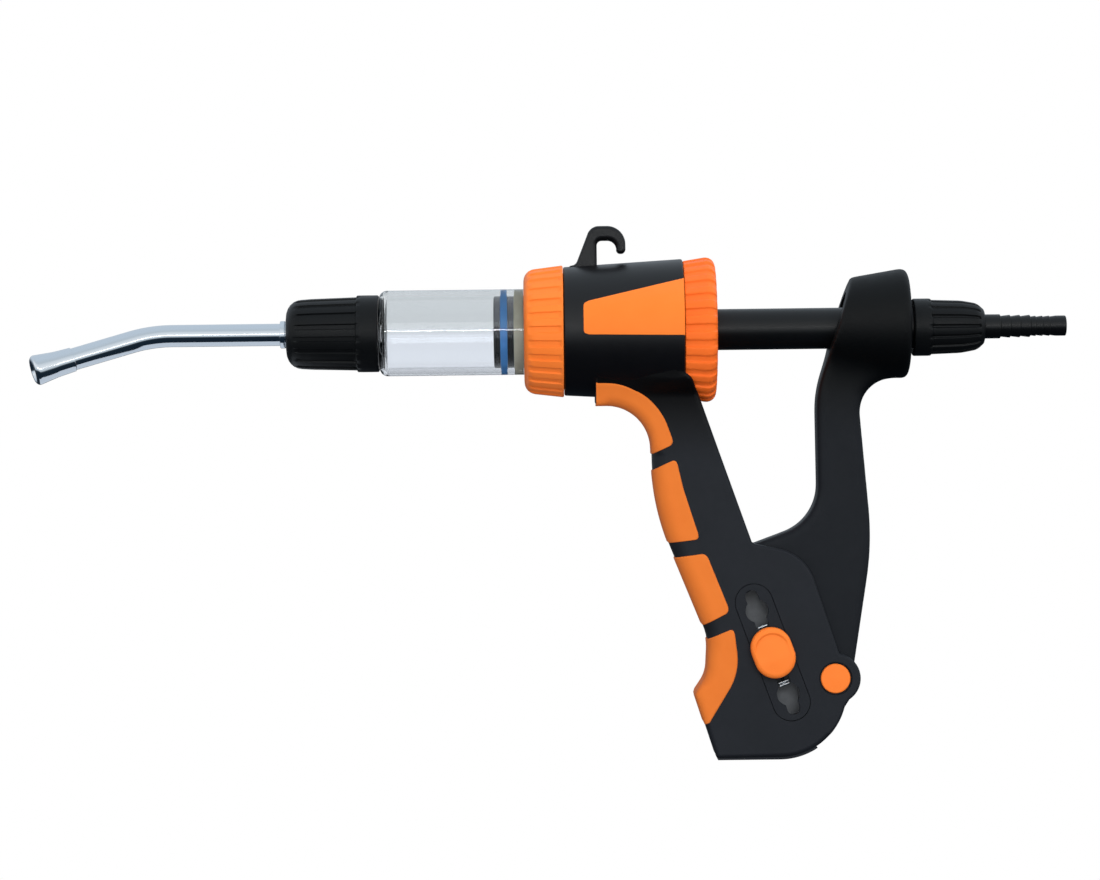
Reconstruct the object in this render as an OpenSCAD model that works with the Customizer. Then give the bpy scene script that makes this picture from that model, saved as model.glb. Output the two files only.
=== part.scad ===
// Squeeze-lever drench gun: a clear metering barrel on a pistol handle.
// The barrel axis lies along X with the nozzle at -X, and +Z is up.
// The origin is the seat inside the hanging hook, midway through its width.

/* [Pump] */
// Bore of the clear barrel
barrel_bore = 28; // [26:0.5:30]
// Wall of the clear barrel
barrel_wall = 2.25; // [1.8:0.05:2.8]
// Piston travel for a full dose
stroke = 40.6; // [36:0.2:43]
// Diameter of the hollow piston rod
rod_d = 15.6; // [14.4:0.1:16.4]
// Diameter of the passage through the rod
passage_d = 6; // [4:0.5:7]

/* [Housing] */
// Length of the housing between its two rings
housing_len = 45.4; // [43:0.2:50]
// Diameter of the housing at the front ring
housing_front_d = 48.8; // [47:0.2:52]
// Diameter of the housing at the rear ring
housing_rear_d = 54; // [52:0.2:57]
// Length of the front ring
collar_len = 15; // [14:0.5:18]
// Length of the rear ring
cap_len = 13.3; // [12.5:0.1:16]

/* [Handle] */
// Barrel axis down to the flat base of the handle
handle_drop = 163.6; // [156:0.4:174]
// Thickness of each cheek of the handle
cheek_t = 3.6; // [3.2:0.1:4.6]
// Width of the handle where it joins the housing
flare_w = 39; // [36:0.5:42]

/* [Lever] */
// Thickness of the lever
lever_t = 16; // [14:0.5:18]
// Diameter of the lever head at its rear face
head_d = 42.6; // [42:0.2:47]
// Diameter of the pivot pin
pin_d = 8; // [6:0.5:9]
// Diameter of the round boss at the pivot
boss_d = 19; // [17:0.5:21]

/* [Nozzle] */
// Outer diameter of the nozzle tube
tube_d = 8.4; // [7:0.1:9.2]
// Bore of the nozzle tube
tube_bore = 5.6; // [4:0.1:6]
// Length of the nozzle nut
nozzle_nut_len = 35.1; // [33:0.1:40]
// Largest diameter of the nozzle nut
nozzle_nut_d = 29; // [27:0.2:31]
// Straight tube from the nut to the bend
tube_run = 46; // [30:1:80]
// Straight tube from the bend to the end of the tip
tube_bent_run = 31; // [25:1:60]
// Angle of the bend
tube_bend = 23; // [10:1:40]
// Turn of the bend away from straight down
nozzle_turn = 48; // [-90:1:90]
// Largest diameter of the flared tip
tip_d = 11.4; // [10.6:0.1:13]

/* [Hose end] */
// Length of the nut that holds the hose tail
barb_nut_len = 27.3; // [26:0.1:32]
// Largest diameter of that nut
barb_nut_d = 21.8; // [21:0.1:22.6]
// Length of the hose tail outside its nut
barb_len = 31.1; // [26:0.1:40]
// Diameter of the plain end of the hose tail
barb_end_d = 7.7; // [7:0.1:8]

/* [Dose setting] */
// Distance between neighbouring dose settings
dose_pitch = 16.7; // [15:0.1:17.5]
// Width of the slot between the settings
slot_w = 4.9; // [4.6:0.1:5.6]
// Diameter of the round place at each setting
lobe_d = 8.7; // [7.5:0.1:9.5]
// Length of the thumb knob
knob_len = 20.5; // [18:0.1:23]
// Width of the thumb knob
knob_w = 16; // [14:0.1:17]
// Travel of the knob when it is pressed
press_travel = 1.2; // [0.8:0.1:1.6]

/* [Hook] */
// Barrel axis up to the top of the hanging hook
hook_rise = 39.7; // [37:0.1:44]
// Length of the hook along the barrel
hook_len = 19.7; // [18:0.1:24]
// Width of the hook
hook_w = 7; // [5:0.5:10]

/* [Hidden] */

black = "#22262b";
orange = "#ff7a2c";
soft_orange = "#e87830";
rubber = "#2c2c2e";
steel = "#c8ccd2";

$fn = 64;
arc_step = 9;
overrun = 1;
running_gap = 0.08;
thread_gap = 0.05;
body_gap = 0.3;
side_gap = 0.4;

// Front joint: ring, barrel flange and gasket on the housing spigot
bore_r = barrel_bore / 2;
barrel_r = bore_r + barrel_wall;
rod_r = rod_d / 2;
passage_r = passage_d / 2;
collar_lip = 3;
flange_t = 3;
gasket_t = 1.5;
spigot_step = 2.4;
cavity_wall = 2.6;
lip_t = 2.5;
lip_step = 1;
plate_t = 2;
collar_swell = 0.7;
collar_taper = 1.9;
collar_x = -collar_len;
flange_x = collar_x + collar_lip;
gasket_x = flange_x + flange_t;
spigot_x = gasket_x + gasket_t;
plate_x = spigot_x + lip_t;
front_r = housing_front_d / 2;
rear_r = housing_rear_d / 2;
spigot_r = front_r - spigot_step;
lip_r = bore_r + lip_step;

// Rear joint: ring, rod bush and bump ring on the rear spigot
rear_step = 3;
rear_spigot_len = 7;
cap_wall = 3.5;
cap_swell = 0.6;
bush_flange_t = 1.5;
bush_wall = 1.8;
bush_flange_w = 2.4;
bump_t = 2;
bump_w = 4.5;
rod_collar_t = 3;
rod_collar_w = 7.7;
rear_spigot_r = rear_r - rear_step;
cavity_r = min(spigot_r, rear_spigot_r) - cavity_wall;
cap_x = housing_len + cap_len;
cap_in_x = cap_x - cap_wall;
bush_r = rod_r + bush_wall;
bush_flange_r = bush_r + bush_flange_w;
rod_collar_x = cap_in_x - bump_t - body_gap - rod_collar_t;
rod_collar_r = rod_r + rod_collar_w;

// Piston and its inlet valve
piston_face_t = 2.5;
piston_seal_t = 2.7;
piston_spacer_t = 2.4;
piston_guide_t = 3.8;
piston_slack = 0.4;
guide_slack = 0.2;
hub_step = 4.5;
valve_wall = 3;
inlet_retainer_t = 1.5;
inlet_disc_t = 2;
inlet_bore_r = 6;
inlet_disc_r = 4.8;
valve_stem_r = 1.2;
inlet_stem_len = 6;
inlet_wire_d = 0.5;
inlet_turns = 4;
inlet_coil_r = 3.2;
rod_flange_r = rod_r + hub_step;
rod_flange_t = 2;
hub_r = bore_r - hub_step;
piston_len = piston_face_t + piston_seal_t + piston_spacer_t + piston_guide_t;
piston_x = collar_x - piston_len;
seal_x = piston_x + piston_face_t;
spacer_x = seal_x + piston_seal_t;
guide_x = spacer_x + piston_spacer_t;
inlet_seat_x = collar_x - valve_wall;

// Barrel front, outlet valve and nozzle nut
end_gap = 0.9;
barrel_end_t = 2;
barrel_round = 2;
nut_wall = 3;
nut_shell = 4.1;
neck_wall = 3.9;
ferrule_flange_t = 2.5;
ferrule_wall = 1.1;
ferrule_front = 2.6;
ferrule_step = 0.9;
nozzle_seal_t = 1.9;
outlet_hole_r = 3.5;
outlet_seat_t = 2;
outlet_disc_t = 2.2;
outlet_slack = 0.9;
outlet_stem_len = 8;
outlet_retainer_t = 2;
outlet_wire_d = 0.8;
outlet_turns = 7;
outlet_coil_r = 3.6;
nut_band_len = 8.5;
nut_band_step = 0.8;
nut_taper = 1.1;
nut_round = 5;
nut_ribs = 22;
wall_x = piston_x - stroke - end_gap;
barrel_x = wall_x - barrel_end_t;
nut_x = barrel_x - nozzle_nut_len;
nut_in_x = nut_x + nut_wall;
ferrule_x = nut_in_x + body_gap;
neck_x = ferrule_x + ferrule_flange_t + body_gap + nozzle_seal_t;
nut_r = nozzle_nut_d / 2;
neck_r = nut_r - nut_shell;
neck_bore_r = neck_r - neck_wall;
tube_r = tube_d / 2;
ferrule_r = tube_r + ferrule_wall;
outlet_seat_x = barrel_x - outlet_seat_t;
outlet_disc_x = outlet_seat_x - body_gap - outlet_disc_t;
bend_r = 50;
bend_steps = 6;
tip_len = 16;
tip_lip = 1.4;
tip_step = 0.4;

// Return spring round the rod
coil_wire_d = 1.5;
coil_clear = 4.2;
coil_r = rod_r + coil_clear;
coil_x = plate_x + plate_t;
coil_room = rod_collar_x - coil_x;
coil_turns = floor((coil_room - stroke) / coil_wire_d) - 1;

// Lever head and the trunnion it carries on the rod
squeeze_gap = 3.8;
head_ahead = 15.3;
head_behind = 13.6;
head_rise = 1.5;
head_slope = 0.165;
cavity_slope = 0.13;
head_wall = 3.6;
head_round = 2.5;
trunnion_pin_r = 3;
trunnion_ring_w = 2.4;
trunnion_len = 8;
trunnion_grip = 1.5;
trunnion_play = 1.2;
trunnion_slack = 0.6;
rod_slack = 0.8;
trunnion_x = cap_x + squeeze_gap + stroke + head_ahead;
head_x = trunnion_x + head_behind;
head_r = head_d / 2;

// Hose tail and its nut
barb_nut_gap = 0.5;
barb_nut_wall = 5;
barb_flange_t = 2.5;
barb_seal_t = 1.5;
barb_band_len = 7;
barb_band_step = 0.7;
barb_taper = 0.7;
barb_round = 4.5;
barb_neck_r = 4.6;
barb_bore_r = 2.3;
barb_ridge = 0.3;
barb_nut_flutes = 16;
barb_ridges = 3;
barb_base_share = 0.2;
barb_large_share = 0.36;
barb_small_share = 0.26;
barb_taper_share = 0.06;
barb_nut_x = head_x + barb_nut_gap;
barb_x = barb_nut_x + barb_nut_len;
barb_in_x = barb_x - barb_nut_wall;
barb_seal_x = barb_in_x - barb_flange_t - barb_seal_t;
barb_nut_r = barb_nut_d / 2;
barb_end_r = barb_end_d / 2;

// Ribs and flutes round the rings and nuts
ring_ribs = 28;
rib_r = 1.3;
rib_depth = 0.45;
ring_round = 3;
flute_r = 1.7;
flute_depth = 0.5;
nut_rib_r = 0.8;
nut_rib_depth = 0.4;

// Handle, in shares of the pivot's distance back and of the handle's drop
pivot_share = 0.853;
pivot_drop_share = 0.809;
pivot_x = pivot_share * trunnion_x;
pivot = [pivot_x, -pivot_drop_share * handle_drop];
pin_r = pin_d / 2;
grip_half = lever_t / 2 + side_gap + cheek_t;
flare_half = flare_w / 2;
flare_top_share = 0.12;
flare_end_share = 0.31;
pad_proud = 0.4;
pad_depth = 1.5;
pad_drop_share = 0.5;
cap_clear = 0.8;
handle_shares = [
  [0.121, 0.073, 0], [0.121, 0.171, 0.006], [0.327, 0.171, 0.104], [0.328, 0.403, 0.58],
  [0.531, 0.715, 0.122], [0.525, 0.798, 0.086], [0.478, 0.843, 0.005], [0.564, 1, 0.012],
  [1.065, 1, 0.153], [1.062, 0.837, 0], [1.022, 0.764, 0], [0.88, 0.536, 0.037],
  [0.695, 0.495, 0.009], [0.478, 0.11, 0], [0.436, 0.073, 0]
];
pad_index_shares = [
  [0.089, 0.12, 0], [0.327, 0.12, 0.153], [0.409, 0.264, 0.012], [0.248, 0.308, 0], [0.089, 0.308, 0]
];
pad_upper_shares = [
  [0.248, 0.35, 0], [0.416, 0.298, 0.011], [0.441, 0.367, 0.245], [0.501, 0.485, 0.012], [0.327, 0.496, 0]
];
pad_lower_shares = [[0.327, 0.532, 0], [0.524, 0.517, 0.012], [0.61, 0.652, 0.012], [0.416, 0.712, 0]];
pad_heel_shares = [
  [0.436, 0.737, 0], [0.624, 0.69, 0.012], [0.644, 0.792, 0.134], [0.505, 0.922, 0], [0.396, 0.922, 0]
];

// Lever: the edge that faces the barrel, the hidden web, then the palm edge
lever_front_shares = [[1.015, 0.012, 0], [0.943, 0.15, 0.06], [0.947, 0.442, 0.116]];
web_shares = [
  [0.653, 0.509, 0.012], [0.642, 0.568, 0.037], [0.649, 0.66, 0.05], [0.718, 0.813, 0.06],
  [0.762, 0.892, 0.024], [0.851, 0.92, 0.03]
];
lever_back_shares = [
  [0.98, 0.865, 0], [1.075, 0.782, 0], [1.148, 0.501, 0.67], [1.093, 0.113, 0.05], [1.228, 0.107, 0],
  [1.109, 0.03, 0]
];
web_gap = 1.3;
lug_step = 1;
lug_r = boss_d / 2 - lug_step;
lever_throw = acos((trunnion_x - stroke - pivot.x) / norm([trunnion_x - pivot.x, pivot.y]))
  - atan2(-pivot.y, trunnion_x - pivot.x);

// Pivot fittings
lever_bush_wall = 1.5;
pivot_cap_t = 1.4;
pivot_cap_r = 5.6;
pivot_cap_gap = 0.7;
pivot_cap_sunk = 0.2;
pivot_plug_r = 2;
pivot_plug_len = 3;

// Dose slot, knob and clip on the left cheek
slot_lean = 20;
dose_share = [0.766, 0.747];
plate_margin = 3.3;
plate_r = 7;
plate_depth = 2;
slot_margin = 8.2;
clip_len = 25;
clip_w = 6.5;
clip_t = 0.8;
clip_gap = 0.3;
pocket_depth = 1.6;
pocket_r = 5.5;
stem_r = 2;
stem_gap = 1;
stem_reach = 3;
stem_clear = 0.1;
knob_t = 3.6;
knob_dish_r = 9;
knob_dish_depth = 1.1;
knob_dish_share = 0.12;
dose_center = [dose_share.x * pivot_x, -dose_share.y * handle_drop];
slot_axis = [sin(slot_lean), -cos(slot_lean)];
clip_y = -lever_t / 2 - side_gap - clip_gap;
knob_y = -grip_half - press_travel - body_gap;

// Side inlays, in shares of the housing's length and rear diameter
inlay_t = 1.2;
inlay_shares = [[0.165, 0.193, 0.028], [0.165, -0.039, 0.028], [1, -0.052, 0], [1, 0.352, 0]];

// Hook, in shares of its length and of its height over its root
hook_x = 4.2;
hook_root = front_r - spigot_step;
hook_h = hook_rise - hook_root;
hook_shares = [
  [0, 0, 0], [0.34, 1, 0.25], [1, 1, 0.4], [1, 0.412, 0.085],
  [0.822, 0.412, 0.07], [0.822, 0.695, 0.17], [0.447, 0.695, 0.17], [0.447, 0, 0]
];
hook_seat_shares = [0.6345, 0.695];
origin_x = hook_x + hook_seat_shares.x * hook_len;
origin_z = hook_root + hook_seat_shares.y * hook_h;

// Outline helpers
function unit(v) = v / norm(v);
function arc(center, r, start, sweep) = let (steps = max(1, ceil(abs(sweep) / arc_step)))
  [for (i = [0 : steps]) center + r * [cos(start + sweep * i / steps), sin(start + sweep * i / steps)]];
function turn_between(a, b) = let (d = b - a) d > 180 ? d - 360 : d < -180 ? d + 360 : d;
function corner(a, b, c, r) =
  let (u = unit(a - b), v = unit(c - b), half = acos(u * v) / 2, center = b + unit(u + v) * r / sin(half))
  let (p = b + u * r / tan(half) - center, q = b + v * r / tan(half) - center)
  arc(center, r, atan2(p.y, p.x), turn_between(atan2(p.y, p.x), atan2(q.y, q.x)));
function flat(p) = [p.x, p.y];
function rounded(corners) = let (n = len(corners)) [
  for (i = [0 : n - 1], p = corners[i].z > 0
    ? corner(flat(corners[(i + n - 1) % n]), flat(corners[i]), flat(corners[(i + 1) % n]), corners[i].z)
    : [flat(corners[i])]) p
];
function stadium(a, b, r) = let (lean = atan2(b.y - a.y, b.x - a.x))
  concat(arc(b, r, lean - 90, 180), arc(a, r, lean + 90, 180));
function on_handle(shares) =
  [for (s = shares) [s.x * pivot_x, -s.y * handle_drop, s.z * handle_drop]];
function spun(p, angle) = let (d = p - pivot)
  pivot + [d.x * cos(angle) - d.y * sin(angle), d.x * sin(angle) + d.y * cos(angle)];
function pushed(p, gap) = p + unit(p - pivot) * gap;
function housing_r(x) = front_r + (rear_r - front_r) * x / housing_len;
function head_r_at(x) = head_r - head_slope * (head_x - x);
function head_cavity_at(x) = head_r - head_wall - cavity_slope * (head_x - x);
function along_slot(reach) = dose_center + reach * slot_axis;

// Solid turned about the barrel axis, from a list of [place along the axis, radius]
module turned(points) {
  rotate([0, 90, 0])
    rotate_extrude()
      polygon([for (p = points) [p.y, p.x]]);
}

// Plain ring or disc on the barrel axis
module ring(from, to, outer, inner) {
  turned([[from, inner], [to, inner], [to, outer], [from, outer]]);
}

// Side outline made solid between two places across the gun
module slab(outline, from, to) {
  translate([0, to, 0])
    rotate([90, 0, 0])
      linear_extrude(height = to - from)
        polygon(outline);
}

// Round bar across the gun
module cross_bar(center, r, from, to) {
  translate([center.x, to, center.y])
    rotate([90, 0, 0])
      cylinder(r = r, h = to - from);
}

// Round grooves spaced evenly about the barrel axis, along a cone's surface
module grooves(count, from, to, from_r, to_r, r, depth) {
  climb = atan((to_r - from_r) / (to - from));
  for (i = [0 : count - 1])
    rotate([360 * i / count, 0, 0])
      translate([from, 0, from_r + r - depth])
        rotate([0, 90 - climb, 0])
          cylinder(r = r, h = norm([to - from, to_r - from_r]));
}

// Wound spring on the barrel axis, one unbroken tube
module coil(from, to, mean_r, wire_d, turns) {
  sides = 6;
  turn_rings = 8;
  rings = turn_rings * turns;
  wire_r = wire_d / 2;
  pitch = (to - from - wire_d) / turns;
  points = [
    for (i = [0 : rings], k = [0 : sides - 1])
      let (turn = 360 * turns * i / rings, side = 360 * k / sides, r = mean_r + wire_r * cos(side))
      [from + wire_r + pitch * turns * i / rings + wire_r * sin(side), r * cos(turn), r * sin(turn)]
  ];
  echo(coil_gap_to_itself = min([
    for (i = [0 : rings - turn_rings], k = [0 : sides - 1], m = [0 : sides - 1])
      norm(points[i * sides + k] - points[(i + turn_rings) * sides + m])
  ]));
  walls = [
    for (i = [0 : rings - 1], k = [0 : sides - 1]) let (a = i * sides + k, b = i * sides + (k + 1) % sides)
      each [[a, b, b + sides], [a, b + sides, a + sides]]
  ];
  first = [[for (k = [sides - 1 : -1 : 0]) k]];
  last = [[for (k = [0 : sides - 1]) rings * sides + k]];
  polyhedron(points, concat(walls, first, last));
}

// Hollow tube along a path in the side view, from a list of [place along X, height, downward turn]
module swept_tube(stations, outer, inner) {
  sides = 32;
  last = len(stations) - 1;
  points = [
    for (s = stations, r = [outer, inner], k = [0 : sides - 1]) let (up = r * cos(360 * k / sides))
      [s.x - up * sin(s.z), r * sin(360 * k / sides), s.y + up * cos(s.z)]
  ];
  function at(i, wall, k) = (2 * i + wall) * sides + k % sides;
  walls = [
    for (i = [0 : last - 1], k = [0 : sides - 1], wall = [0, 1])
      let (a = at(i, wall, k), b = at(i, wall, k + 1), c = at(i + 1, wall, k + 1), d = at(i + 1, wall, k))
      each wall == 0 ? [[a, c, b], [a, d, c]] : [[a, b, c], [a, c, d]]
  ];
  ends = [
    for (i = [0, last], k = [0 : sides - 1])
      let (a = at(i, 0, k), b = at(i, 0, k + 1), c = at(i, 1, k + 1), d = at(i, 1, k))
      i == 0 ? [a, b, c, d] : [d, c, b, a]
  ];
  polyhedron(points, concat(walls, ends));
}

// Handle's mass, grown forwards, down and sideways or shrunk
module handle_bulk(grow) {
  half = grip_half + grow;
  wide = flare_half + grow;
  top = -flare_top_share * handle_drop;
  end = -flare_end_share * handle_drop;
  base = -handle_drop;
  intersection() {
    translate([-grow, 0, -pad_drop_share * grow])
      slab(rounded(on_handle(handle_shares)), -wide, wide);
    rotate([90, 0, 90])
      linear_extrude(height = 2 * pivot_x)
        polygon([
          [-wide, 0], [-wide, top], [-half, end], [-half, base],
          [half, base], [half, end], [wide, top], [wide, 0]
        ]);
  }
}

// Outside of the housing between its two rings, grown evenly and run past both ends
module housing_cone(grow, past) {
  turned([
    [-past, 0], [-past, housing_r(-past) + grow],
    [housing_len + past, housing_r(housing_len + past) + grow], [housing_len + past, 0]
  ]);
}

// Grip pad: a skin wrapped round the handle's front inside a band
module grip_pad(shares) {
  wide = flare_half + pad_proud + overrun;
  difference() {
    intersection() {
      handle_bulk(pad_proud);
      slab(rounded(on_handle(shares)), -wide, wide);
    }
    handle_bulk(-pad_depth);
    housing_cone(0, 0);
  }
}

// Space between the cheeks that the lever sweeps
module lever_slot() {
  web = [for (p = on_handle(web_shares)) flat(p)];
  half = lever_t / 2 + side_gap;
  toe = [for (i = [0 : 4]) spun(pushed(web[0], web_gap), lever_throw * i / 4)];
  rest = [for (i = [1 : len(web) - 1]) spun(pushed(web[i], web_gap), lever_throw)];
  below = pivot + [boss_d / 2, -boss_d / 2];
  behind = pivot + [boss_d, 0];
  above = [pivot.x + boss_d, web[0].y + 3 * web_gap];
  slab(concat(toe, rest, [below, behind, above, [web[0].x + boss_d / 2, above.y]]), -half, half);
}

// Side patch of the housing's skin, grown outwards where it cuts its own seat
module inlay(side, grow) {
  wide = housing_rear_d;
  outline = rounded([
    for (s = inlay_shares) [s.x * housing_len, s.y * housing_rear_d, s.z * housing_rear_d]
  ]);
  difference() {
    intersection() {
      housing_cone(grow, 0);
      slab(outline, side < 0 ? -wide : 0, side < 0 ? 0 : wide);
    }
    housing_cone(-inlay_t, overrun);
  }
}

module hook() {
  slab(rounded([
    for (s = hook_shares) [hook_x + s.x * hook_len, hook_root + s.y * hook_h, s.z * hook_h]
  ]), -hook_w / 2, hook_w / 2);
}

module pistol_body() {
  spigot_end = housing_len + rear_spigot_len;
  face = -grip_half;
  color(black)
    difference() {
      union() {
        turned([
          [spigot_x, 0], [spigot_x, spigot_r], [0, spigot_r], [0, front_r], [housing_len, rear_r],
          [housing_len, rear_spigot_r], [spigot_end, rear_spigot_r], [spigot_end, 0]
        ]);
        difference() {
          handle_bulk(0);
          ring(housing_len, 2 * cap_x, rear_r + cap_swell + cap_clear, 0);
          grip_pad(pad_index_shares);
          grip_pad(pad_upper_shares);
          grip_pad(pad_lower_shares);
          grip_pad(pad_heel_shares);
        }
        cross_bar(pivot, boss_d / 2, -grip_half, grip_half);
        hook();
      }
      turned([
        [spigot_x - overrun, 0], [spigot_x - overrun, lip_r], [plate_x, lip_r], [plate_x, cavity_r],
        [spigot_end + overrun, cavity_r], [spigot_end + overrun, 0]
      ]);
      inlay(-1, overrun);
      inlay(1, overrun);
      lever_slot();
      cross_bar(pivot, pin_r, -grip_half - overrun, grip_half + overrun);
      for (side = [-1, 1])
        cross_bar(
          pivot, pivot_cap_r + pivot_cap_gap,
          side * grip_half - pivot_cap_t - pivot_cap_sunk, side * grip_half + pivot_cap_t + pivot_cap_sunk
        );
      slab(stadium(along_slot(-dose_pitch - plate_margin), along_slot(dose_pitch + plate_margin), plate_r),
        face - overrun, face + plate_depth);
      slab(stadium(along_slot(-dose_pitch - plate_margin), along_slot(dose_pitch + plate_margin), pocket_r),
        face, -lever_t / 2);
      slab(stadium(
        along_slot(-dose_pitch - clip_len / 2 - overrun + pocket_r),
        along_slot(dose_pitch + clip_len / 2 + overrun - pocket_r), pocket_r
      ), -lever_t / 2 - side_gap - pocket_depth, -lever_t / 2);
    }
}

module inlay_left() {
  color(orange) inlay(-1, 0);
}

module inlay_right() {
  color(orange) inlay(1, 0);
}

module pad_index() {
  color(soft_orange) grip_pad(pad_index_shares);
}

module pad_upper() {
  color(soft_orange) grip_pad(pad_upper_shares);
}

module pad_lower() {
  color(soft_orange) grip_pad(pad_lower_shares);
}

module pad_heel() {
  color(soft_orange) grip_pad(pad_heel_shares);
}

module front_collar() {
  outer = front_r + collar_swell;
  nose = outer - collar_taper;
  inner = spigot_r + thread_gap;
  color(orange)
    difference() {
      turned(concat(
        [[collar_x, barrel_r + thread_gap]],
        corner([collar_x, barrel_r], [collar_x, nose], [0, outer], ring_round),
        [[0, outer], [0, inner], [flange_x, inner], [flange_x, barrel_r + thread_gap]]
      ));
      grooves(ring_ribs, collar_x + ring_round, overrun, nose, outer, rib_r, rib_depth);
    }
}

module barrel() {
  color("#dfe6ee", 0.5)
    turned(concat(
      [[gasket_x, bore_r], [gasket_x, spigot_r], [flange_x, spigot_r], [flange_x, barrel_r]],
      corner([flange_x, barrel_r], [barrel_x, barrel_r], [barrel_x, neck_r], barrel_round),
      [
        [barrel_x, neck_r], [neck_x, neck_r], [neck_x, neck_bore_r], [barrel_x, neck_bore_r],
        [barrel_x, outlet_hole_r], [wall_x, outlet_hole_r], [wall_x, bore_r]
      ]
    ));
}

module barrel_gasket() {
  color(rubber) ring(gasket_x, spigot_x, spigot_r, lip_r);
}

module outlet_seat() {
  color(rubber) ring(outlet_seat_x, barrel_x, neck_bore_r, outlet_hole_r);
}

module outlet_spring() {
  color(steel) coil(neck_x + outlet_retainer_t, outlet_disc_x, outlet_coil_r, outlet_wire_d, outlet_turns);
}

module outlet_retainer() {
  color(steel) ring(neck_x, neck_x + outlet_retainer_t, neck_bore_r, tube_bore / 2);
}

module nozzle_seal() {
  color(rubber) ring(neck_x - nozzle_seal_t, neck_x, neck_r, neck_bore_r);
}

module nozzle_nut() {
  rib_end = barrel_x - nut_band_len;
  rib_r_end = nut_r - nut_band_step;
  rib_r_start = rib_r_end - nut_taper;
  inner = neck_r + thread_gap;
  hole = ferrule_r + running_gap;
  color(black)
    difference() {
      turned(concat(
        [[nut_x, hole]],
        corner([nut_x, hole], [nut_x, rib_r_start], [rib_end, rib_r_end], nut_round),
        [
          [rib_end, rib_r_end], [rib_end, nut_r], [barrel_x, nut_r], [barrel_x, inner],
          [nut_in_x, inner], [nut_in_x, hole]
        ]
      ));
      grooves(nut_ribs, nut_x + nut_round, rib_end, rib_r_start, rib_r_end, nut_rib_r, nut_rib_depth);
    }
}

module rear_cap() {
  outer = rear_r + cap_swell;
  inner = rear_spigot_r + thread_gap;
  color(orange)
    difference() {
      turned(concat(
        [[housing_len, inner], [housing_len, rear_r]],
        corner([housing_len, rear_r], [cap_x, outer], [cap_x, 0], ring_round),
        [[cap_x, bush_r], [cap_in_x, bush_r], [cap_in_x, inner]]
      ));
      grooves(ring_ribs, housing_len - overrun, cap_x + overrun, rear_r, outer, rib_r, rib_depth);
    }
}

module rod_bush() {
  inner = rod_r + running_gap;
  color("#8d8f8a")
    turned([
      [cap_in_x - bush_flange_t, inner], [cap_x, inner], [cap_x, bush_r], [cap_in_x, bush_r],
      [cap_in_x, bush_flange_r], [cap_in_x - bush_flange_t, bush_flange_r]
    ]);
}

module bump_ring() {
  color(rubber) ring(cap_in_x - bump_t, cap_in_x, bush_flange_r + bump_w, bush_flange_r);
}

module spring_plate() {
  color(steel) ring(plate_x, plate_x + plate_t, cavity_r, rod_r + rod_slack);
}

module return_spring() {
  color(steel) coil(coil_x, rod_collar_x, coil_r, coil_wire_d, coil_turns);
}

module dose_plate() {
  face = -grip_half;
  under = face + plate_depth;
  half = dose_pitch + slot_margin - slot_w / 2;
  color("#2b2f34")
    difference() {
      slab(stadium(along_slot(-dose_pitch - plate_margin), along_slot(dose_pitch + plate_margin), plate_r),
        face, under);
      slab(stadium(along_slot(-half), along_slot(half), slot_w / 2), face - overrun, under + overrun);
      for (i = [-1 : 1])
        cross_bar(along_slot(i * dose_pitch), lobe_d / 2, face - overrun, under + overrun);
    }
}

module pivot_pin() {
  half = grip_half - pivot_cap_t - pivot_cap_sunk;
  color(steel)
    difference() {
      cross_bar(pivot, pin_r, -half, half);
      cross_bar(pivot, pivot_plug_r, -half - overrun, half + overrun);
    }
}

module pivot_cap(side) {
  top = grip_half - pivot_cap_sunk;
  under = top - pivot_cap_t;
  plug = under - pivot_plug_len;
  color(orange) {
    cross_bar(pivot, pivot_cap_r, side < 0 ? -top : under, side < 0 ? -under : top);
    cross_bar(pivot, pivot_plug_r, side < 0 ? -top : plug, side < 0 ? -plug : top);
  }
}

module pivot_cap_left() {
  pivot_cap(-1);
}

module pivot_cap_right() {
  pivot_cap(1);
}

// Window in the web that the dose stem stands in through the whole squeeze
module dose_window() {
  r = stem_r + stem_gap;
  across = [slot_axis.y, -slot_axis.x];
  top = along_slot(-dose_pitch - r);
  bottom = along_slot(dose_pitch + r);
  slab([
    top + r * across, bottom + r * across, bottom - r * across,
    spun(bottom - r * across, -lever_throw), spun(top - r * across, -lever_throw)
  ], -lever_t, lever_t);
}

// Way through the head's front wall for the rod at every tilt
module rod_way() {
  r = rod_r + rod_slack;
  reach = 2 * head_ahead;
  slab([
    [trunnion_x, 0], [trunnion_x - reach, 0], [trunnion_x - reach, reach * tan(lever_throw) + trunnion_play]
  ], -r, r);
  for (tilt = [0, lever_throw])
    translate([trunnion_x, 0, tilt > 0 ? trunnion_play : 0])
      rotate([0, tilt - 90, 0])
        cylinder(r = r, h = reach);
}

// Half space behind a plane that leans with the head's front face
module behind_face(setback) {
  reach = 2 * head_r;
  lean = reach * tan(lever_throw);
  front = trunnion_x - head_ahead + setback;
  slab([
    [front - lean, -reach], [front + lean, reach], [head_x + reach, reach], [head_x + reach, -reach]
  ], -reach, reach);
}

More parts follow.
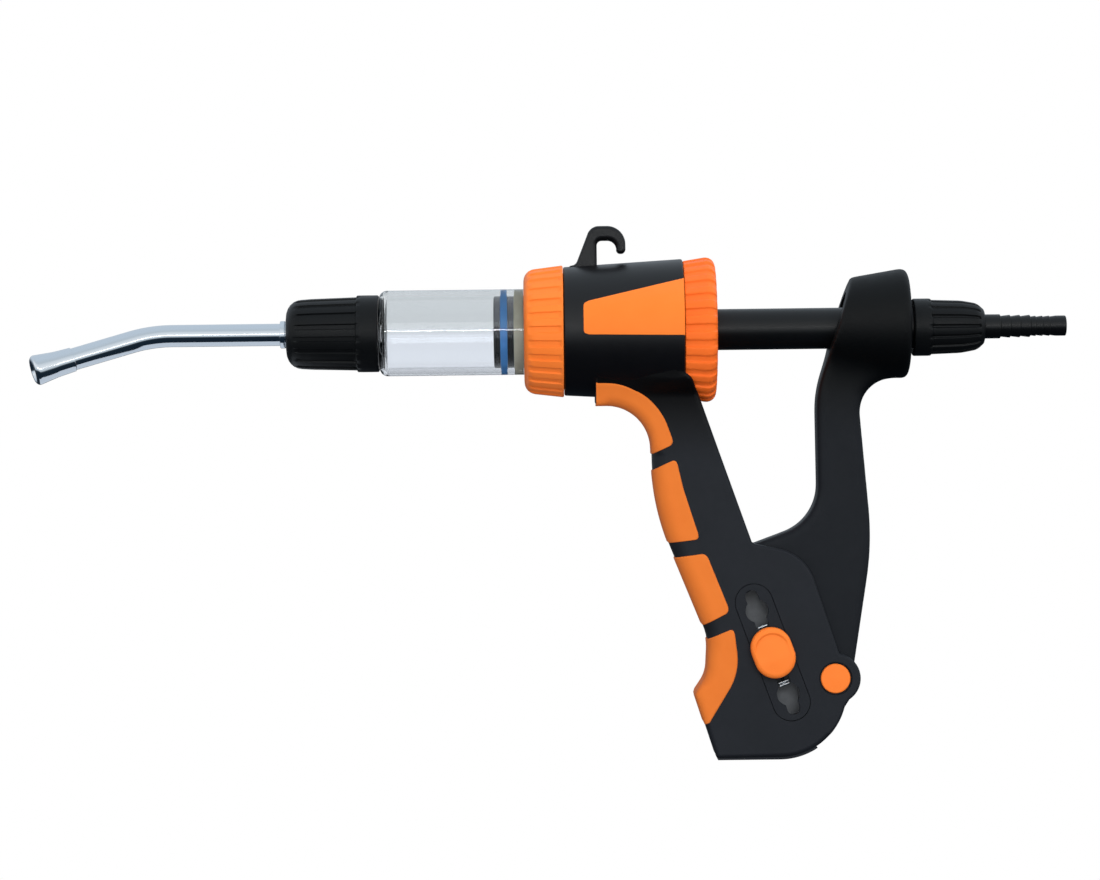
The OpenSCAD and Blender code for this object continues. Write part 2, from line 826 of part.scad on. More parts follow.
module lever() {
  outline_shares = concat(lever_front_shares, web_shares, lever_back_shares);
  front = trunnion_x - 2 * head_ahead;
  slot_r = trunnion_pin_r + trunnion_slack;
  slot_half = head_cavity_at(trunnion_x) + trunnion_grip + body_gap;
  color(black)
    difference() {
      union() {
        intersection() {
          translate([0, 0, head_rise])
            turned(concat(
              [[front, 0], [front, head_r_at(front)]],
              corner([front, head_r_at(front)], [head_x, head_r], [head_x, 0], head_round),
              [[head_x, 0]]
            ));
          behind_face(0);
        }
        slab(rounded(on_handle(outline_shares)), -lever_t / 2, lever_t / 2);
        cross_bar(pivot, lug_r, -lever_t / 2, lever_t / 2);
      }
      intersection() {
        translate([0, 0, head_rise])
          turned([
            [front, 0], [front, head_cavity_at(front)],
            [head_x + overrun, head_cavity_at(head_x + overrun)], [head_x + overrun, 0]
          ]);
        behind_face(head_wall);
      }
      rod_way();
      slab(
        stadium([trunnion_x, -trunnion_play], [trunnion_x, trunnion_play], slot_r), -slot_half, slot_half
      );
      cross_bar(pivot, pin_r + running_gap + lever_bush_wall, -lever_t, lever_t);
      dose_window();
    }
}

module lever_bush() {
  color("#8d8f8a")
    difference() {
      cross_bar(pivot, pin_r + running_gap + lever_bush_wall, -lever_t / 2, lever_t / 2);
      cross_bar(pivot, pin_r + running_gap, -lever_t, lever_t);
    }
}

module piston_rod() {
  color(black)
    turned([
      [collar_x, passage_r], [barb_seal_x, passage_r], [barb_seal_x, rod_r],
      [collar_x + rod_flange_t, rod_r], [collar_x + rod_flange_t, rod_flange_r], [collar_x, rod_flange_r]
    ]);
}

module piston_head() {
  color("#34363a")
    turned([
      [piston_x, inlet_bore_r], [piston_x, bore_r - piston_slack], [seal_x, bore_r - piston_slack],
      [seal_x, hub_r], [collar_x, hub_r], [collar_x, passage_r], [inlet_seat_x, passage_r],
      [inlet_seat_x, inlet_bore_r]
    ]);
}

module piston_seal() {
  color("#4a80b8") ring(seal_x, spacer_x, bore_r - running_gap, hub_r);
}

module piston_spacer() {
  color("#34363a") ring(spacer_x, guide_x, bore_r - piston_slack, hub_r);
}

module piston_guide() {
  color("#6e6a5a") ring(guide_x, collar_x, bore_r - guide_slack, hub_r);
}

module inlet_retainer() {
  color(steel) ring(piston_x, piston_x + inlet_retainer_t, inlet_bore_r, inlet_coil_r - inlet_wire_d);
}

module inlet_spring() {
  end = inlet_seat_x - body_gap - inlet_disc_t;
  color(steel) coil(piston_x + inlet_retainer_t, end, inlet_coil_r, inlet_wire_d, inlet_turns);
}

module rod_collar() {
  color(steel) ring(rod_collar_x, rod_collar_x + rod_collar_t, rod_collar_r, rod_r);
}

module trunnion() {
  half = head_cavity_at(trunnion_x) + trunnion_grip;
  ring_x = trunnion_x - trunnion_len / 2;
  color(steel)
    difference() {
      union() {
        ring(ring_x, ring_x + trunnion_len, rod_r + trunnion_ring_w, 0);
        cross_bar([trunnion_x, 0], trunnion_pin_r, -half, half);
      }
      ring(ring_x - overrun, ring_x + trunnion_len + overrun, rod_r, 0);
    }
}

module barb_nut() {
  flute_x = barb_nut_x + barb_band_len;
  start_r = barb_nut_r - barb_band_step;
  end_r = start_r - barb_taper;
  inner = rod_r + thread_gap;
  hole = barb_neck_r + thread_gap;
  color(black)
    difference() {
      turned(concat(
        [[barb_nut_x, inner], [barb_nut_x, barb_nut_r], [flute_x, barb_nut_r], [flute_x, start_r]],
        corner([flute_x, start_r], [barb_x, end_r], [barb_x, 0], barb_round),
        [[barb_x, hole], [barb_in_x, hole], [barb_in_x, inner]]
      ));
      grooves(barb_nut_flutes, flute_x, barb_x + overrun, start_r, end_r, flute_r, flute_depth);
    }
}

module barb_seal() {
  color(rubber) ring(barb_seal_x, barb_seal_x + barb_seal_t, rod_r, barb_bore_r + barb_ridge);
}

// One row of hose ridges, each a slow rise to a crest and a quick fall
function ridges(from, to, crest) = let (step = (to - from) / barb_ridges) [
  for (i = [0 : barb_ridges - 1]) each [
    [from + i * step, crest], [from + (i + barb_taper_share) * step, crest - barb_ridge],
    [from + (i + 1) * step, crest]
  ]
];

module hose_barb() {
  large_x = barb_x + barb_base_share * barb_len;
  taper_x = large_x + barb_large_share * barb_len;
  small_x = taper_x + barb_taper_share * barb_len;
  land_x = small_x + barb_small_share * barb_len;
  end_x = barb_x + barb_len;
  color(black)
    turned(concat(
      [
        [barb_in_x - barb_flange_t, barb_bore_r], [barb_in_x - barb_flange_t, rod_r],
        [barb_in_x, rod_r], [barb_in_x, barb_neck_r], [large_x, barb_neck_r]
      ],
      ridges(large_x, taper_x, barb_neck_r - barb_ridge),
      ridges(small_x, land_x, barb_end_r),
      [[end_x, barb_end_r], [end_x, barb_bore_r]]
    ));
}

module inlet_valve() {
  disc_x = inlet_seat_x - body_gap - inlet_disc_t;
  color("#e9e9e4") {
    ring(disc_x, disc_x + inlet_disc_t, inlet_disc_r, 0);
    ring(disc_x, disc_x + inlet_disc_t + inlet_stem_len, valve_stem_r, 0);
  }
}

module outlet_valve() {
  color("#e9e9e4") {
    ring(outlet_disc_x, outlet_disc_x + outlet_disc_t, neck_bore_r - outlet_slack, 0);
    ring(outlet_disc_x - outlet_stem_len, outlet_disc_x + outlet_disc_t, valve_stem_r, 0);
  }
}

// Places along the bent part of the nozzle, measured from the start of the bend
module on_nozzle(reach) {
  rotate([-nozzle_turn, 0, 0])
    translate([nut_x - ferrule_front - tube_run, 0, -bend_r])
      rotate([0, -tube_bend, 0])
        translate([-reach, 0, bend_r])
          rotate([0, -90, 0])
            children();
}

module nozzle_tube() {
  bend_x = nut_x - ferrule_front - tube_run;
  run = tube_bent_run - tip_lip;
  bend = [
    for (i = [0 : bend_steps]) let (a = tube_bend * i / bend_steps)
      [bend_x - bend_r * sin(a), bend_r * (cos(a) - 1), a]
  ];
  end = bend[bend_steps] - run * [cos(tube_bend), sin(tube_bend), 0];
  color(steel)
    rotate([-nozzle_turn, 0, 0])
      swept_tube(concat([[ferrule_x + ferrule_flange_t, 0, 0]], bend, [end]), tube_r, tube_bore / 2);
}

module nozzle_tip() {
  tip_r = tip_d / 2;
  start = tube_bent_run - tip_len;
  color(steel)
    on_nozzle(start)
      rotate_extrude()
        polygon(rounded([
          [tube_r, 0, 0], [tube_r + tip_step, 0, 0], [tip_r, tip_len, tip_lip],
          [tube_bore / 2, tip_len, 0], [tube_bore / 2, tip_len - tip_lip, 0], [tube_r, tip_len - tip_lip, 0]
        ]));
}

module nozzle_ferrule() {
  rear = ferrule_x + ferrule_flange_t;
  front = nut_x - ferrule_front;
  color(steel)
    turned([
      [front, tube_r], [rear, tube_r], [rear, neck_r - ferrule_step], [ferrule_x, neck_r - ferrule_step],
      [ferrule_x, ferrule_r], [front, ferrule_r]
    ]);
}

module dose_clip() {
  half = clip_len / 2 - clip_w / 2;
  color(steel)
    difference() {
      slab(stadium(along_slot(-half), along_slot(half), clip_w / 2), clip_y - clip_t, clip_y);
      cross_bar(dose_center, stem_r + stem_clear, clip_y - clip_t - overrun, clip_y + overrun);
    }
}

module dose_stem() {
  color(steel) cross_bar(dose_center, stem_r, knob_y, stem_reach);
}

module dose_knob() {
  half = (knob_len - knob_w) / 2;
  dish = along_slot(-knob_dish_share * knob_len);
  color(orange)
    difference() {
      slab(stadium(along_slot(-half), along_slot(half), knob_w / 2), knob_y - knob_t, knob_y);
      translate([dish.x, knob_y - knob_t - knob_dish_r + knob_dish_depth, dish.y])
        sphere(r = knob_dish_r);
    }
}

// From the barrel axis to the hook's seat
module placed() {
  translate([-origin_x, 0, -origin_z])
    children();
}

placed() pistol_body();
placed() inlay_left();
placed() inlay_right();
placed() pad_index();
placed() pad_upper();
placed() pad_lower();
placed() pad_heel();
placed() front_collar();
placed() barrel();
placed() barrel_gasket();
placed() outlet_seat();
placed() outlet_spring();
placed() outlet_retainer();
placed() nozzle_seal();
placed() nozzle_nut();
placed() rear_cap();
placed() rod_bush();
placed() bump_ring();
placed() spring_plate();
placed() return_spring();
placed() dose_plate();
placed() pivot_pin();
placed() pivot_cap_left();
placed() pivot_cap_right();
placed() lever();
placed() lever_bush();
placed() piston_rod();
placed() piston_head();
placed() piston_seal();
placed() piston_spacer();
placed() piston_guide();
placed() inlet_retainer();
placed() inlet_spring();
placed() rod_collar();
placed() trunnion();
placed() barb_nut();
placed() barb_seal();
placed() hose_barb();
placed() inlet_valve();
placed() outlet_valve();
placed() nozzle_tube();
placed() nozzle_tip();
placed() nozzle_ferrule();
placed() dose_clip();
placed() dose_stem();
placed() dose_knob();
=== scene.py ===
from math import acos, atan2, ceil, cos, degrees, dist, exp, hypot, pi, prod, radians, sin, sqrt, tan
import bpy
import bmesh
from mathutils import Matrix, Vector


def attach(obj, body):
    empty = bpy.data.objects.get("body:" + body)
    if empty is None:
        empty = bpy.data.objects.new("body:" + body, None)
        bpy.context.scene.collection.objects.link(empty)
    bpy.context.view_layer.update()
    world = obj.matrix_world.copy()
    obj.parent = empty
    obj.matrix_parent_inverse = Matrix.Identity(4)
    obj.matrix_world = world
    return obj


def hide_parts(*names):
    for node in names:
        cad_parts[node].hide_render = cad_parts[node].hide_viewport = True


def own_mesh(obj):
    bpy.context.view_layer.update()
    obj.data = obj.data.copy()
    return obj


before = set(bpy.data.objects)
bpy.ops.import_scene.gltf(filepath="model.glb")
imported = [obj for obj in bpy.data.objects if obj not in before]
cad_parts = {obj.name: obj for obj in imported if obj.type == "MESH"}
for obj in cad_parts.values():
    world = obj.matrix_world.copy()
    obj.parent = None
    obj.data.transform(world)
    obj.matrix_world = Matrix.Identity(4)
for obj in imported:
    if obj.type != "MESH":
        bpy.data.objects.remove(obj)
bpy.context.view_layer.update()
scene = bpy.context.scene
scene.view_settings.view_transform = "Standard"
print("frame loaded")

mm = 0.001
hookSeat = Vector((16.6996, 0, 34.3015))  # hook seat measured from the barrel axis, mm
pivotX, pivotZ = 100.995, -132.352        # lever pivot, from the same place
finishes = {}


# Finishes. Colours are written in sRGB and turned to linear here.
def linear(hexColour):
    parts = [int(hexColour[i:i + 2], 16) / 255 for i in (1, 3, 5)]
    return tuple(p / 12.92 if p <= 0.04045 else ((p + 0.055) / 1.055) ** 2.4 for p in parts) + (1.0,)


def addNode(tree, kind, settings=None, inputs=None, links=None, stops=None):
    node = tree.nodes.new("ShaderNode" + kind)
    for key, value in (settings or {}).items():
        setattr(node, key, value)
    for key, value in (inputs or {}).items():
        node.inputs[key].default_value = value
    for key, (source, output) in (links or {}).items():
        tree.links.new(source.outputs[output], node.inputs[key])
    for i, (position, colour) in enumerate(stops or []):
        stop = node.color_ramp.elements[i] if i < 2 else node.color_ramp.elements.new(position)
        stop.position, stop.color = position, (*colour, 1)
    return node


def newMaterial(name, values):
    material = bpy.data.materials.new(name)
    material.use_nodes = True
    shader = material.node_tree.nodes["Principled BSDF"]
    for key, value in values.items():
        shader.inputs[key].default_value = value
    return material, material.node_tree, shader


colourMix = {"data_type": "RGBA"}
softRange = {"interpolation_type": "SMOOTHSTEP"}
paintedLightSet = {  # painted shade or painted sheen up the piece: heights where it starts and is full, colour
    "satinNylon": (-54, -24, "#050506"), "leverNylon": (-44, -14, "#040506"), "pistonNylon": (-3, 5, "#5a5b60"),
    "clearAcrylic": (-2, 3, "#c9cfd3")}


# Mixes painted shade or painted sheen into a tone by height in the piece.
def paintedLightTone(tree, place, name, inputs, links):
    low, high, colour = paintedLightSet[name]
    parts = addNode(tree, "SeparateXYZ", links={0: (place, "Object")})
    ends = {"From Min": (low - hookSeat.z) * mm, "From Max": (high - hookSeat.z) * mm}
    rise = addNode(tree, "MapRange", softRange, ends, {"Value": (parts, "Z")})
    return addNode(tree, "Mix", colourMix, {7: linear(colour), **inputs}, {0: (rise, "Result"), **links})


def giveSurface(tree, shader, gloss, patch, strength, depth, grain):  # uneven gloss and fine relief
    ends = {"To Min": gloss[0], "To Max": gloss[1]}
    polish = addNode(tree, "MapRange", inputs=ends, links={"Value": (patch, "Fac")})
    sizes = {"Strength": strength, "Distance": depth * mm}
    relief = addNode(tree, "Bump", inputs=sizes, links={"Height": (grain, "Fac")})
    tree.links.new(polish.outputs["Result"], shader.inputs["Roughness"])
    tree.links.new(relief.outputs["Normal"], shader.inputs["Normal"])


# Moulded and rubber pieces: two near tones in soft clouds, uneven gloss, a grain from the mould, drawn coarser
# than the real one so that the picture can show it. Sizes in mm.
mouldedSet = {  # slot, two tones, cloud size, gloss, its patch size, grain size and depth, IOR, specular
    # glass-filled nylon from a spark-eroded mould: dark, satin, fine grained; painted shade makes it blacker under
    # the housing
    "satinNylon": ("black_nylon", ("#15181d", "#1b1e24"), 14, (0.46, 0.58), 3, 0.6, 0.040, 1.53, 0.24),
    # the same nylon on the lever, worn smooth; painted shade makes it blacker up round the bell
    "leverNylon": ("black_nylon", ("#101318", "#15181d"), 14, (0.44, 0.56), 3, 0.6, 0.032, 1.53, 0.19),
    # the same nylon from a polished mould: rod and hose tail, with a soft shine
    "smoothNylon": ("black_nylon", ("#060708", "#0b0c0e"), 10, (0.28, 0.36), 4, 0.5, 0.008, 1.53, 0.34),
    # the piston's rings, dull and wet black, with a painted grey sheen on their upper half
    "pistonNylon": ("black_nylon", ("#020203", "#050506"), 8, (0.40, 0.50), 4, 0.5, 0.010, 1.53, 0.14),
    # nuts, the same but duller from handling
    "nutNylon": ("black_nylon", ("#08090a", "#0d0f11"), 10, (0.36, 0.46), 4, 0.5, 0.012, 1.53, 0.20),
    # smoother and blacker shell of the housing
    "housingNylon": ("black_nylon", ("#070709", "#0c0c0f"), 16, (0.32, 0.40), 4, 0.5, 0.014, 1.53, 0.37),
    # rubbed grey by the dose clip
    "scuffedNylon": ("black_nylon", ("#4c4f53", "#65686b"), 2, (0.36, 0.52), 1, 0.6, 0.030, 1.53, 0.30),
    # moulded ABS, clean and slightly glossy
    "orangeAbs": ("orange_plastic", ("#f97b2a", "#ff8632"), 12, (0.38, 0.48), 4, 0.5, 0.010, 1.53, 0.26),
    # rear cap, a redder batch
    "deepOrangeAbs": ("orange_plastic", ("#f46a1e", "#fb7426"), 12, (0.38, 0.48), 4, 0.5, 0.010, 1.53, 0.26),
    # paler panel of the same ABS
    "inlayAbs": ("orange_plastic", ("#f57c2a", "#fb8532"), 14, (0.40, 0.50), 4, 0.5, 0.012, 1.53, 0.20),
    # matt thermoplastic elastomer, overmoulded
    "softElastomer": ("orange_rubber", ("#e2742a", "#ea7e31"), 9, (0.58, 0.70), 2.5, 0.5, 0.035, 1.50, 0.24),
    # moulded nitrile, dull black
    "sealRubber": ("black_rubber", ("#121314", "#191a1c"), 4, (0.55, 0.70), 2, 0.4, 0.010, 1.50, 0.35),
    # moulded silicone, slightly wet
    "blueSilicone": ("blue_rubber", ("#346fab", "#417eb8"), 5, (0.35, 0.48), 2, 0.4, 0.006, 1.43, 0.5),
    # turned acetal, waxy
    "oliveAcetal": ("olive_plastic", ("#a39f8b", "#b4b19d"), 4, (0.40, 0.52), 2, 0.4, 0.008, 1.48, 0.45),
    "greyAcetal": ("grey_plastic", ("#82847f", "#8f918c"), 5, (0.40, 0.50), 3, 0.4, 0.008, 1.48, 0.45),
    "whiteAcetal": ("white_plastic", ("#dedfdb", "#e9e9e4"), 4, (0.38, 0.48), 2, 0.4, 0.008, 1.48, 0.45),
}
mouldRelief, drawnRelief = 0.6, 0.3
for name, (slot, tones, cloudMm, gloss, patchMm, grainMm, grainDepth, ior, specular) in mouldedSet.items():
    material, tree, shader = newMaterial(name, {
        "IOR": ior, "Specular IOR Level": specular, "Roughness": sum(gloss) / 2})
    place = addNode(tree, "TexCoord")
    cloud, patch, grain = (
        addNode(tree, "TexNoise", inputs={"Scale": 1 / (size * mm), "Detail": detail},
                links={"Vector": (place, "Object")})
        for size, detail in ((cloudMm, 3.0), (patchMm, 2.0), (grainMm, 2.0)))
    tone = addNode(tree, "Mix", colourMix, {6: linear(tones[0]), 7: linear(tones[1])}, {0: (cloud, "Fac")})
    # painted shade or painted sheen by height, for the pieces listed
    if name in paintedLightSet:
        tone = paintedLightTone(tree, place, name, {}, {6: (tone, 2)})
    tree.links.new(tone.outputs[2], shader.inputs["Base Color"])
    giveSurface(tree, shader, gloss, patch, mouldRelief, grainDepth, grain)
    finishes[name] = (material, slot)

# Metals and clear plastic: fine marks drawn along the barrel, uneven polish.
polishedSet = {  # slot, colour, metallic, clear, gloss, mark size, how long the marks are drawn, their depth
    # polished chrome plate, mirror with a faint haze
    "chromedBrass": ("chrome_brass", "#dfe4ea", 1.0, 0.0, (0.07, 0.12), 6.0, 4, 0.002),
    # turned and drawn stainless, soft streaks
    "stainlessSteel": ("bright_steel", "#c4c8cc", 1.0, 0.0, (0.20, 0.34), 0.5, 10, 0.006),
    # spring strip, bright rolled
    "polishedSteel": ("bright_steel", "#dcdfe2", 1.0, 0.0, (0.10, 0.18), 0.8, 6, 0.003),
    # the same strip darkened by painted shadow where the knob shades it
    "knobShadowSteel": ("bright_steel", "#1c1d1f", 1.0, 0.0, (0.45, 0.60), 0.8, 3, 0.004),
    # polished acrylic tube, faint drawing lines along it; painted shade makes its upper half greyer
    "clearAcrylic": ("clear_plastic", "#dde3ec", 0.0, 1.0, (0.0, 0.03), 2.5, 20, 0.004),
    # the same tube's polished bore, no tint of its own
    "clearBore": ("clear_plastic", "#fbfcfd", 0.0, 1.0, (0.0, 0.03), 2.5, 20, 0.003),
}
clearSet = {"IOR": 1.49, "Specular Tint": (0.40, 0.40, 0.40, 1.0)}  # acrylic, its mirror held back
for name, (slot, colour, metallic, clear, gloss, markMm, stretch, depth) in polishedSet.items():
    material, tree, shader = newMaterial(name, {
        "Base Color": linear(colour), "Metallic": metallic, "Transmission Weight": clear,
        "Roughness": sum(gloss) / 2, **(clearSet if clear else {})})
    place = addNode(tree, "TexCoord")
    drawn = addNode(tree, "Mapping", inputs={"Scale": (1 / stretch, 1, 1)}, links={"Vector": (place, "Object")})
    marks = addNode(tree, "TexNoise", inputs={"Scale": 1 / (markMm * mm), "Detail": 3.0},
                    links={"Vector": (drawn, "Vector")})
    # painted shade by height, for the clear tube
    if name in paintedLightSet:
        tone = paintedLightTone(tree, place, name, {6: linear(colour)}, {})
        tree.links.new(tone.outputs[2], shader.inputs["Base Color"])
    giveSurface(tree, shader, gloss, marks, drawnRelief, depth, marks)
    finishes[name] = (material, slot)
print("finishes made:", len(finishes))


# Shaping helpers, all in mm from the barrel axis at the housing's front face.
longestChord = 2.5


def roundPath(corners, closed=True, step=8):
    points = []
    for i, corner in enumerate(corners):
        here, radius, edge = Vector(corner[:2]), corner[2], corner[3] if len(corner) > 3 else 0
        if radius <= 0 or not closed and i in (0, len(corners) - 1):
            points.append((here.x, here.y, edge))
            continue
        toLast = (Vector(corners[i - 1][:2]) - here).normalized()
        toNext = (Vector(corners[(i + 1) % len(corners)][:2]) - here).normalized()
        half = toLast.angle(toNext) / 2
        center = here + (toLast + toNext).normalized() * radius / sin(half)
        start = here + toLast * radius / tan(half) - center
        end = here + toNext * radius / tan(half) - center
        first = atan2(start.y, start.x)
        sweep = (atan2(end.y, end.x) - first + pi) % (2 * pi) - pi
        steps = max(2, ceil(degrees(abs(sweep)) / step), ceil(radius * abs(sweep) / longestChord))
        for k in range(steps + 1):
            turn = first + sweep * k / steps
            points.append((center.x + radius * cos(turn), center.y + radius * sin(turn), edge))
    return points


def refine(points, longest, closed=True):
    fine = []
    for i in range(len(points) if closed else len(points) - 1):
        a, b = points[i], points[(i + 1) % len(points)]
        parts = max(1, ceil(dist(a[:2], b[:2]) / longest))
        fine += [tuple(p + (q - p) * k / parts for p, q in zip(a, b)) for k in range(parts)]
    return fine if closed else fine + [points[-1]]


def arcPoints(x, z, radius, first, last, edge, steps=24):
    turns = [radians(first + (last - first) * k / steps) for k in range(steps + 1)]
    return [(x + radius * cos(t), z + radius * sin(t), 0, edge) for t in turns]


def stadium(x, z, axis, reach, radius):
    lean = degrees(atan2(axis[1], axis[0]))
    far = arcPoints(x + axis[0] * reach, z + axis[1] * reach, radius, lean - 90, lean + 90, 0)
    return far + arcPoints(x - axis[0] * reach, z - axis[1] * reach, radius, lean + 90, lean + 270, 0)


def plain(points, edge=0):
    return [(p[0], p[1], edge) for p in points]


def reachAlong(points):  # distance from the first point to each
    reach = [0.0]
    for a, b in zip(points, points[1:]):
        reach.append(reach[-1] + dist(a[:2], b[:2]))
    return reach


def alongBarrel(t, r, a):
    return (t, r * sin(a), r * cos(a))


def acrossAt(x, z):
    return lambda t, r, a: (x + r * cos(a), t, z + r * sin(a))


def ring(low, high, inner, outer, innerEdge=0.0, outerEdge=0.0):
    return [(low, inner, innerEdge), (low, outer, outerEdge), (high, outer, outerEdge), (high, inner, innerEdge)]


def ringFaces(rings, n):  # quads between rings of n points, and both ends
    quads = [(k * n + i, k * n + (i + 1) % n, (k + 1) * n + (i + 1) % n, (k + 1) * n + i)
             for k in range(rings - 1) for i in range(n)]
    return quads + [tuple(range(n)), tuple(range((rings - 1) * n, rings * n))]


def lathe(profile, around, place=alongBarrel, shape=None):
    n = len(profile)
    verts, faces = [], []
    turns = around if isinstance(around, list) else [2 * pi * k / around for k in range(around)]
    for k, a in enumerate(turns):
        verts += [place(p[0], shape(p[0], p[1], a) if shape else p[1], a) for p in profile]
        nextRing = (k + 1) % len(turns) * n
        faces += [(k * n + i, k * n + (i + 1) % n, nextRing + (i + 1) % n, nextRing + i)
                  for i in range(n) if profile[i][1] or profile[(i + 1) % n][1]]
    return verts, faces


def slab(outline, low, high, steps=6):
    area = sum(a[0] * b[1] - b[0] * a[1] for a, b in zip(outline, outline[1:] + outline[:1]))
    path = outline if area > 0 else outline[::-1]
    n = len(path)
    inward = []
    for i in range(n):
        a, b, c = (Vector(path[(i + k) % n][:2]) for k in (-1, 0, 1))
        u, v = (b - a).normalized(), (c - b).normalized()
        u, v = Vector((-u.y, u.x)), Vector((-v.y, v.x))
        inward.append((u + v) / max(0.4, 1 + u.dot(v)))  # held short at sharp corners
    loops = []
    for side in (0, 1):
        for k in range(steps + 1):
            turn = radians(90 * (k if side == 0 else steps - k) / steps)
            loops.append([])
            for (x, z, edge), push in zip(path, inward):
                inset, drop = edge * (1 - sin(turn)), edge * (1 - cos(turn))
                y = low + drop if side == 0 else high - drop
                loops[-1].append((x + push.x * inset, y, z + push.y * inset))
    return [v for loop in loops for v in loop], ringFaces(len(loops), n)


def coil(low, high, meanR, wireR, turns, sides=12, perTurn=32):
    verts, rings = [], perTurn * turns
    for i in range(rings + 1):
        a = 2 * pi * i / perTurn
        t = low + wireR + (high - low - 2 * wireR) * i / rings
        for k in range(sides):
            b = 2 * pi * k / sides
            verts.append(alongBarrel(t + wireR * sin(b), meanR + wireR * cos(b), a))
    return verts, ringFaces(rings + 1, sides)


def spread(length, edge, pitch):
    if length < 2.4 * edge:
        return [length * k / 12 for k in range(13)]
    rim = [0, 0.04 * edge, 0.15 * edge, 0.35 * edge, 0.65 * edge, edge]
    count = max(2, ceil((length - 2 * edge) / pitch))
    middle = [edge + (length - 2 * edge) * k / count for k in range(1, count)]
    return rim + middle + [length - r for r in reversed(rim)]


def evenRows(grid):  # the same number of points in every row
    count = min(len(row) for row in grid)
    return [[row[round(k * (len(row) - 1) / (count - 1))] for k in range(count)] for row in grid]


def skin(base, edge, proud, sink, inside):
    rows, cols = len(base), len(base[0])
    down = [[0.0] * cols for _ in range(rows)]
    over = [[0.0] * cols for _ in range(rows)]
    for i in range(rows):
        for j in range(cols):
            down[i][j] = down[i - 1][j] + (base[i][j] - base[i - 1][j]).length if i else 0.0
            over[i][j] = over[i][j - 1] + (base[i][j] - base[i][j - 1]).length if j else 0.0
    top, under = [], []
    for i in range(rows):
        for j in range(cols):
            along = base[min(i + 1, rows - 1)][j] - base[max(i - 1, 0)][j]
            side = base[i][min(j + 1, cols - 1)] - base[i][max(j - 1, 0)]
            normal = along.cross(side).normalized()
            if normal.dot(base[i][j] - inside(base[i][j])) < 0:
                normal.negate()
            near = min(down[i][j], down[-1][j] - down[i][j], over[i][j], over[i][-1] - over[i][j])
            fall = edge - min(near, edge)
            height = proud - edge + sqrt(edge * edge - fall * fall)
            top.append(base[i][j] + normal * height)
            under.append(base[i][j] - normal * sink)
    m = rows * cols
    rim = list(range(cols)) + [i * cols + cols - 1 for i in range(1, rows)]
    rim += [(rows - 1) * cols + j for j in range(cols - 2, -1, -1)] + [i * cols for i in range(rows - 2, 0, -1)]
    cells = [(i * cols + j, i * cols + j + 1, (i + 1) * cols + j + 1, (i + 1) * cols + j)
             for i in range(rows - 1) for j in range(cols - 1)]
    faces = cells + [tuple(m + v for v in reversed(cell)) for cell in cells]
    faces += [(a, b, m + b, m + a) for a, b in zip(rim, rim[1:] + rim[:1])]
    return top + under, faces


def addObject(name, data):
    made = bpy.data.objects.new(name, data)
    scene.collection.objects.link(made)
    return made


def rawPiece(name, shape):
    mesh = bpy.data.meshes.new(name)
    mesh.from_pydata([(Vector(v) - hookSeat) * mm for v in shape[0]], [], shape[1])
    bm = bmesh.new()
    bm.from_mesh(mesh)
    bmesh.ops.remove_doubles(bm, verts=bm.verts, dist=1e-6)
    bmesh.ops.recalc_face_normals(bm, faces=bm.faces)
    bm.to_mesh(mesh)
    bm.free()
    return addObject(name, mesh)


def drill(name, low, high, radius, around, place=alongBarrel):
    return rawPiece(name, lathe(ring(low, high, 0, radius), around, place))


def crossCut(bm, at, way, snap=1e-7, faces=None):  # a row of points where a plane meets the faces
    geom = bm.verts[:] + bm.edges[:] + bm.faces[:]
    if faces is not None:
        verts = dict.fromkeys(v for f in faces for v in f.verts)  # each once, in order
        edges = dict.fromkeys(e for f in faces for e in f.edges)
        geom = [*verts, *edges, *faces]
    bmesh.ops.bisect_plane(bm, geom=geom, plane_co=at, plane_no=way, dist=snap)


def settle(piece):
    bpy.context.view_layer.update()
    old = piece.data
    made = bpy.data.meshes.new_from_object(piece.evaluated_get(bpy.context.evaluated_depsgraph_get()))
    piece.modifiers.clear()
    piece.data = made
    bpy.data.meshes.remove(old)


def cutAway(piece, cutters, operation="DIFFERENCE"):
    for cutter in cutters:
        tool = piece.modifiers.new("cut", "BOOLEAN")
        tool.operation, tool.solver, tool.object = operation, "EXACT", cutter
    settle(piece)
    for cutter in cutters:
        bpy.data.meshes.remove(cutter.data)
    bm = bmesh.new()
    bm.from_mesh(piece.data)
    sliver = 4e-6  # the cuts leave edges shorter than this, in metres
    bmesh.ops.remove_doubles(bm, verts=bm.verts, dist=sliver)
    bmesh.ops.dissolve_degenerate(bm, edges=bm.edges, dist=sliver)
    bmesh.ops.triangulate(bm, faces=[f for f in bm.faces if len(f.verts) > 4])
    bmesh.ops.dissolve_degenerate(bm, edges=bm.edges, dist=sliver)
    bm.to_mesh(piece.data)
    bm.free()


def dress(piece, finish, body, nodes, sharp=38, weighted=True):
    material, slotName = finishes[finish]
    piece.data.materials.clear()
    piece.data.materials.append(material)
    piece.data.shade_smooth()
    piece.data.set_sharp_from_angle(angle=radians(sharp))
    if weighted:
        tool = piece.modifiers.new("evenNormals", "WEIGHTED_NORMAL")
        tool.keep_sharp = True
    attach(piece, body)
    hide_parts(*nodes)
    return piece


def secondFinish(piece, finish, where):  # faces at the places that the test picks
    piece.data.materials.append(finishes[finish][0])
    for face in piece.data.polygons:
        face.material_index = int(where(face.center / mm + hookSeat, face.normal))


def smoothStep(t):
    t = min(1.0, max(0.0, t))
    return t * t * (3 - 2 * t)


def ramp(at, start, full):
    return smoothStep((at - start) / (full - start))


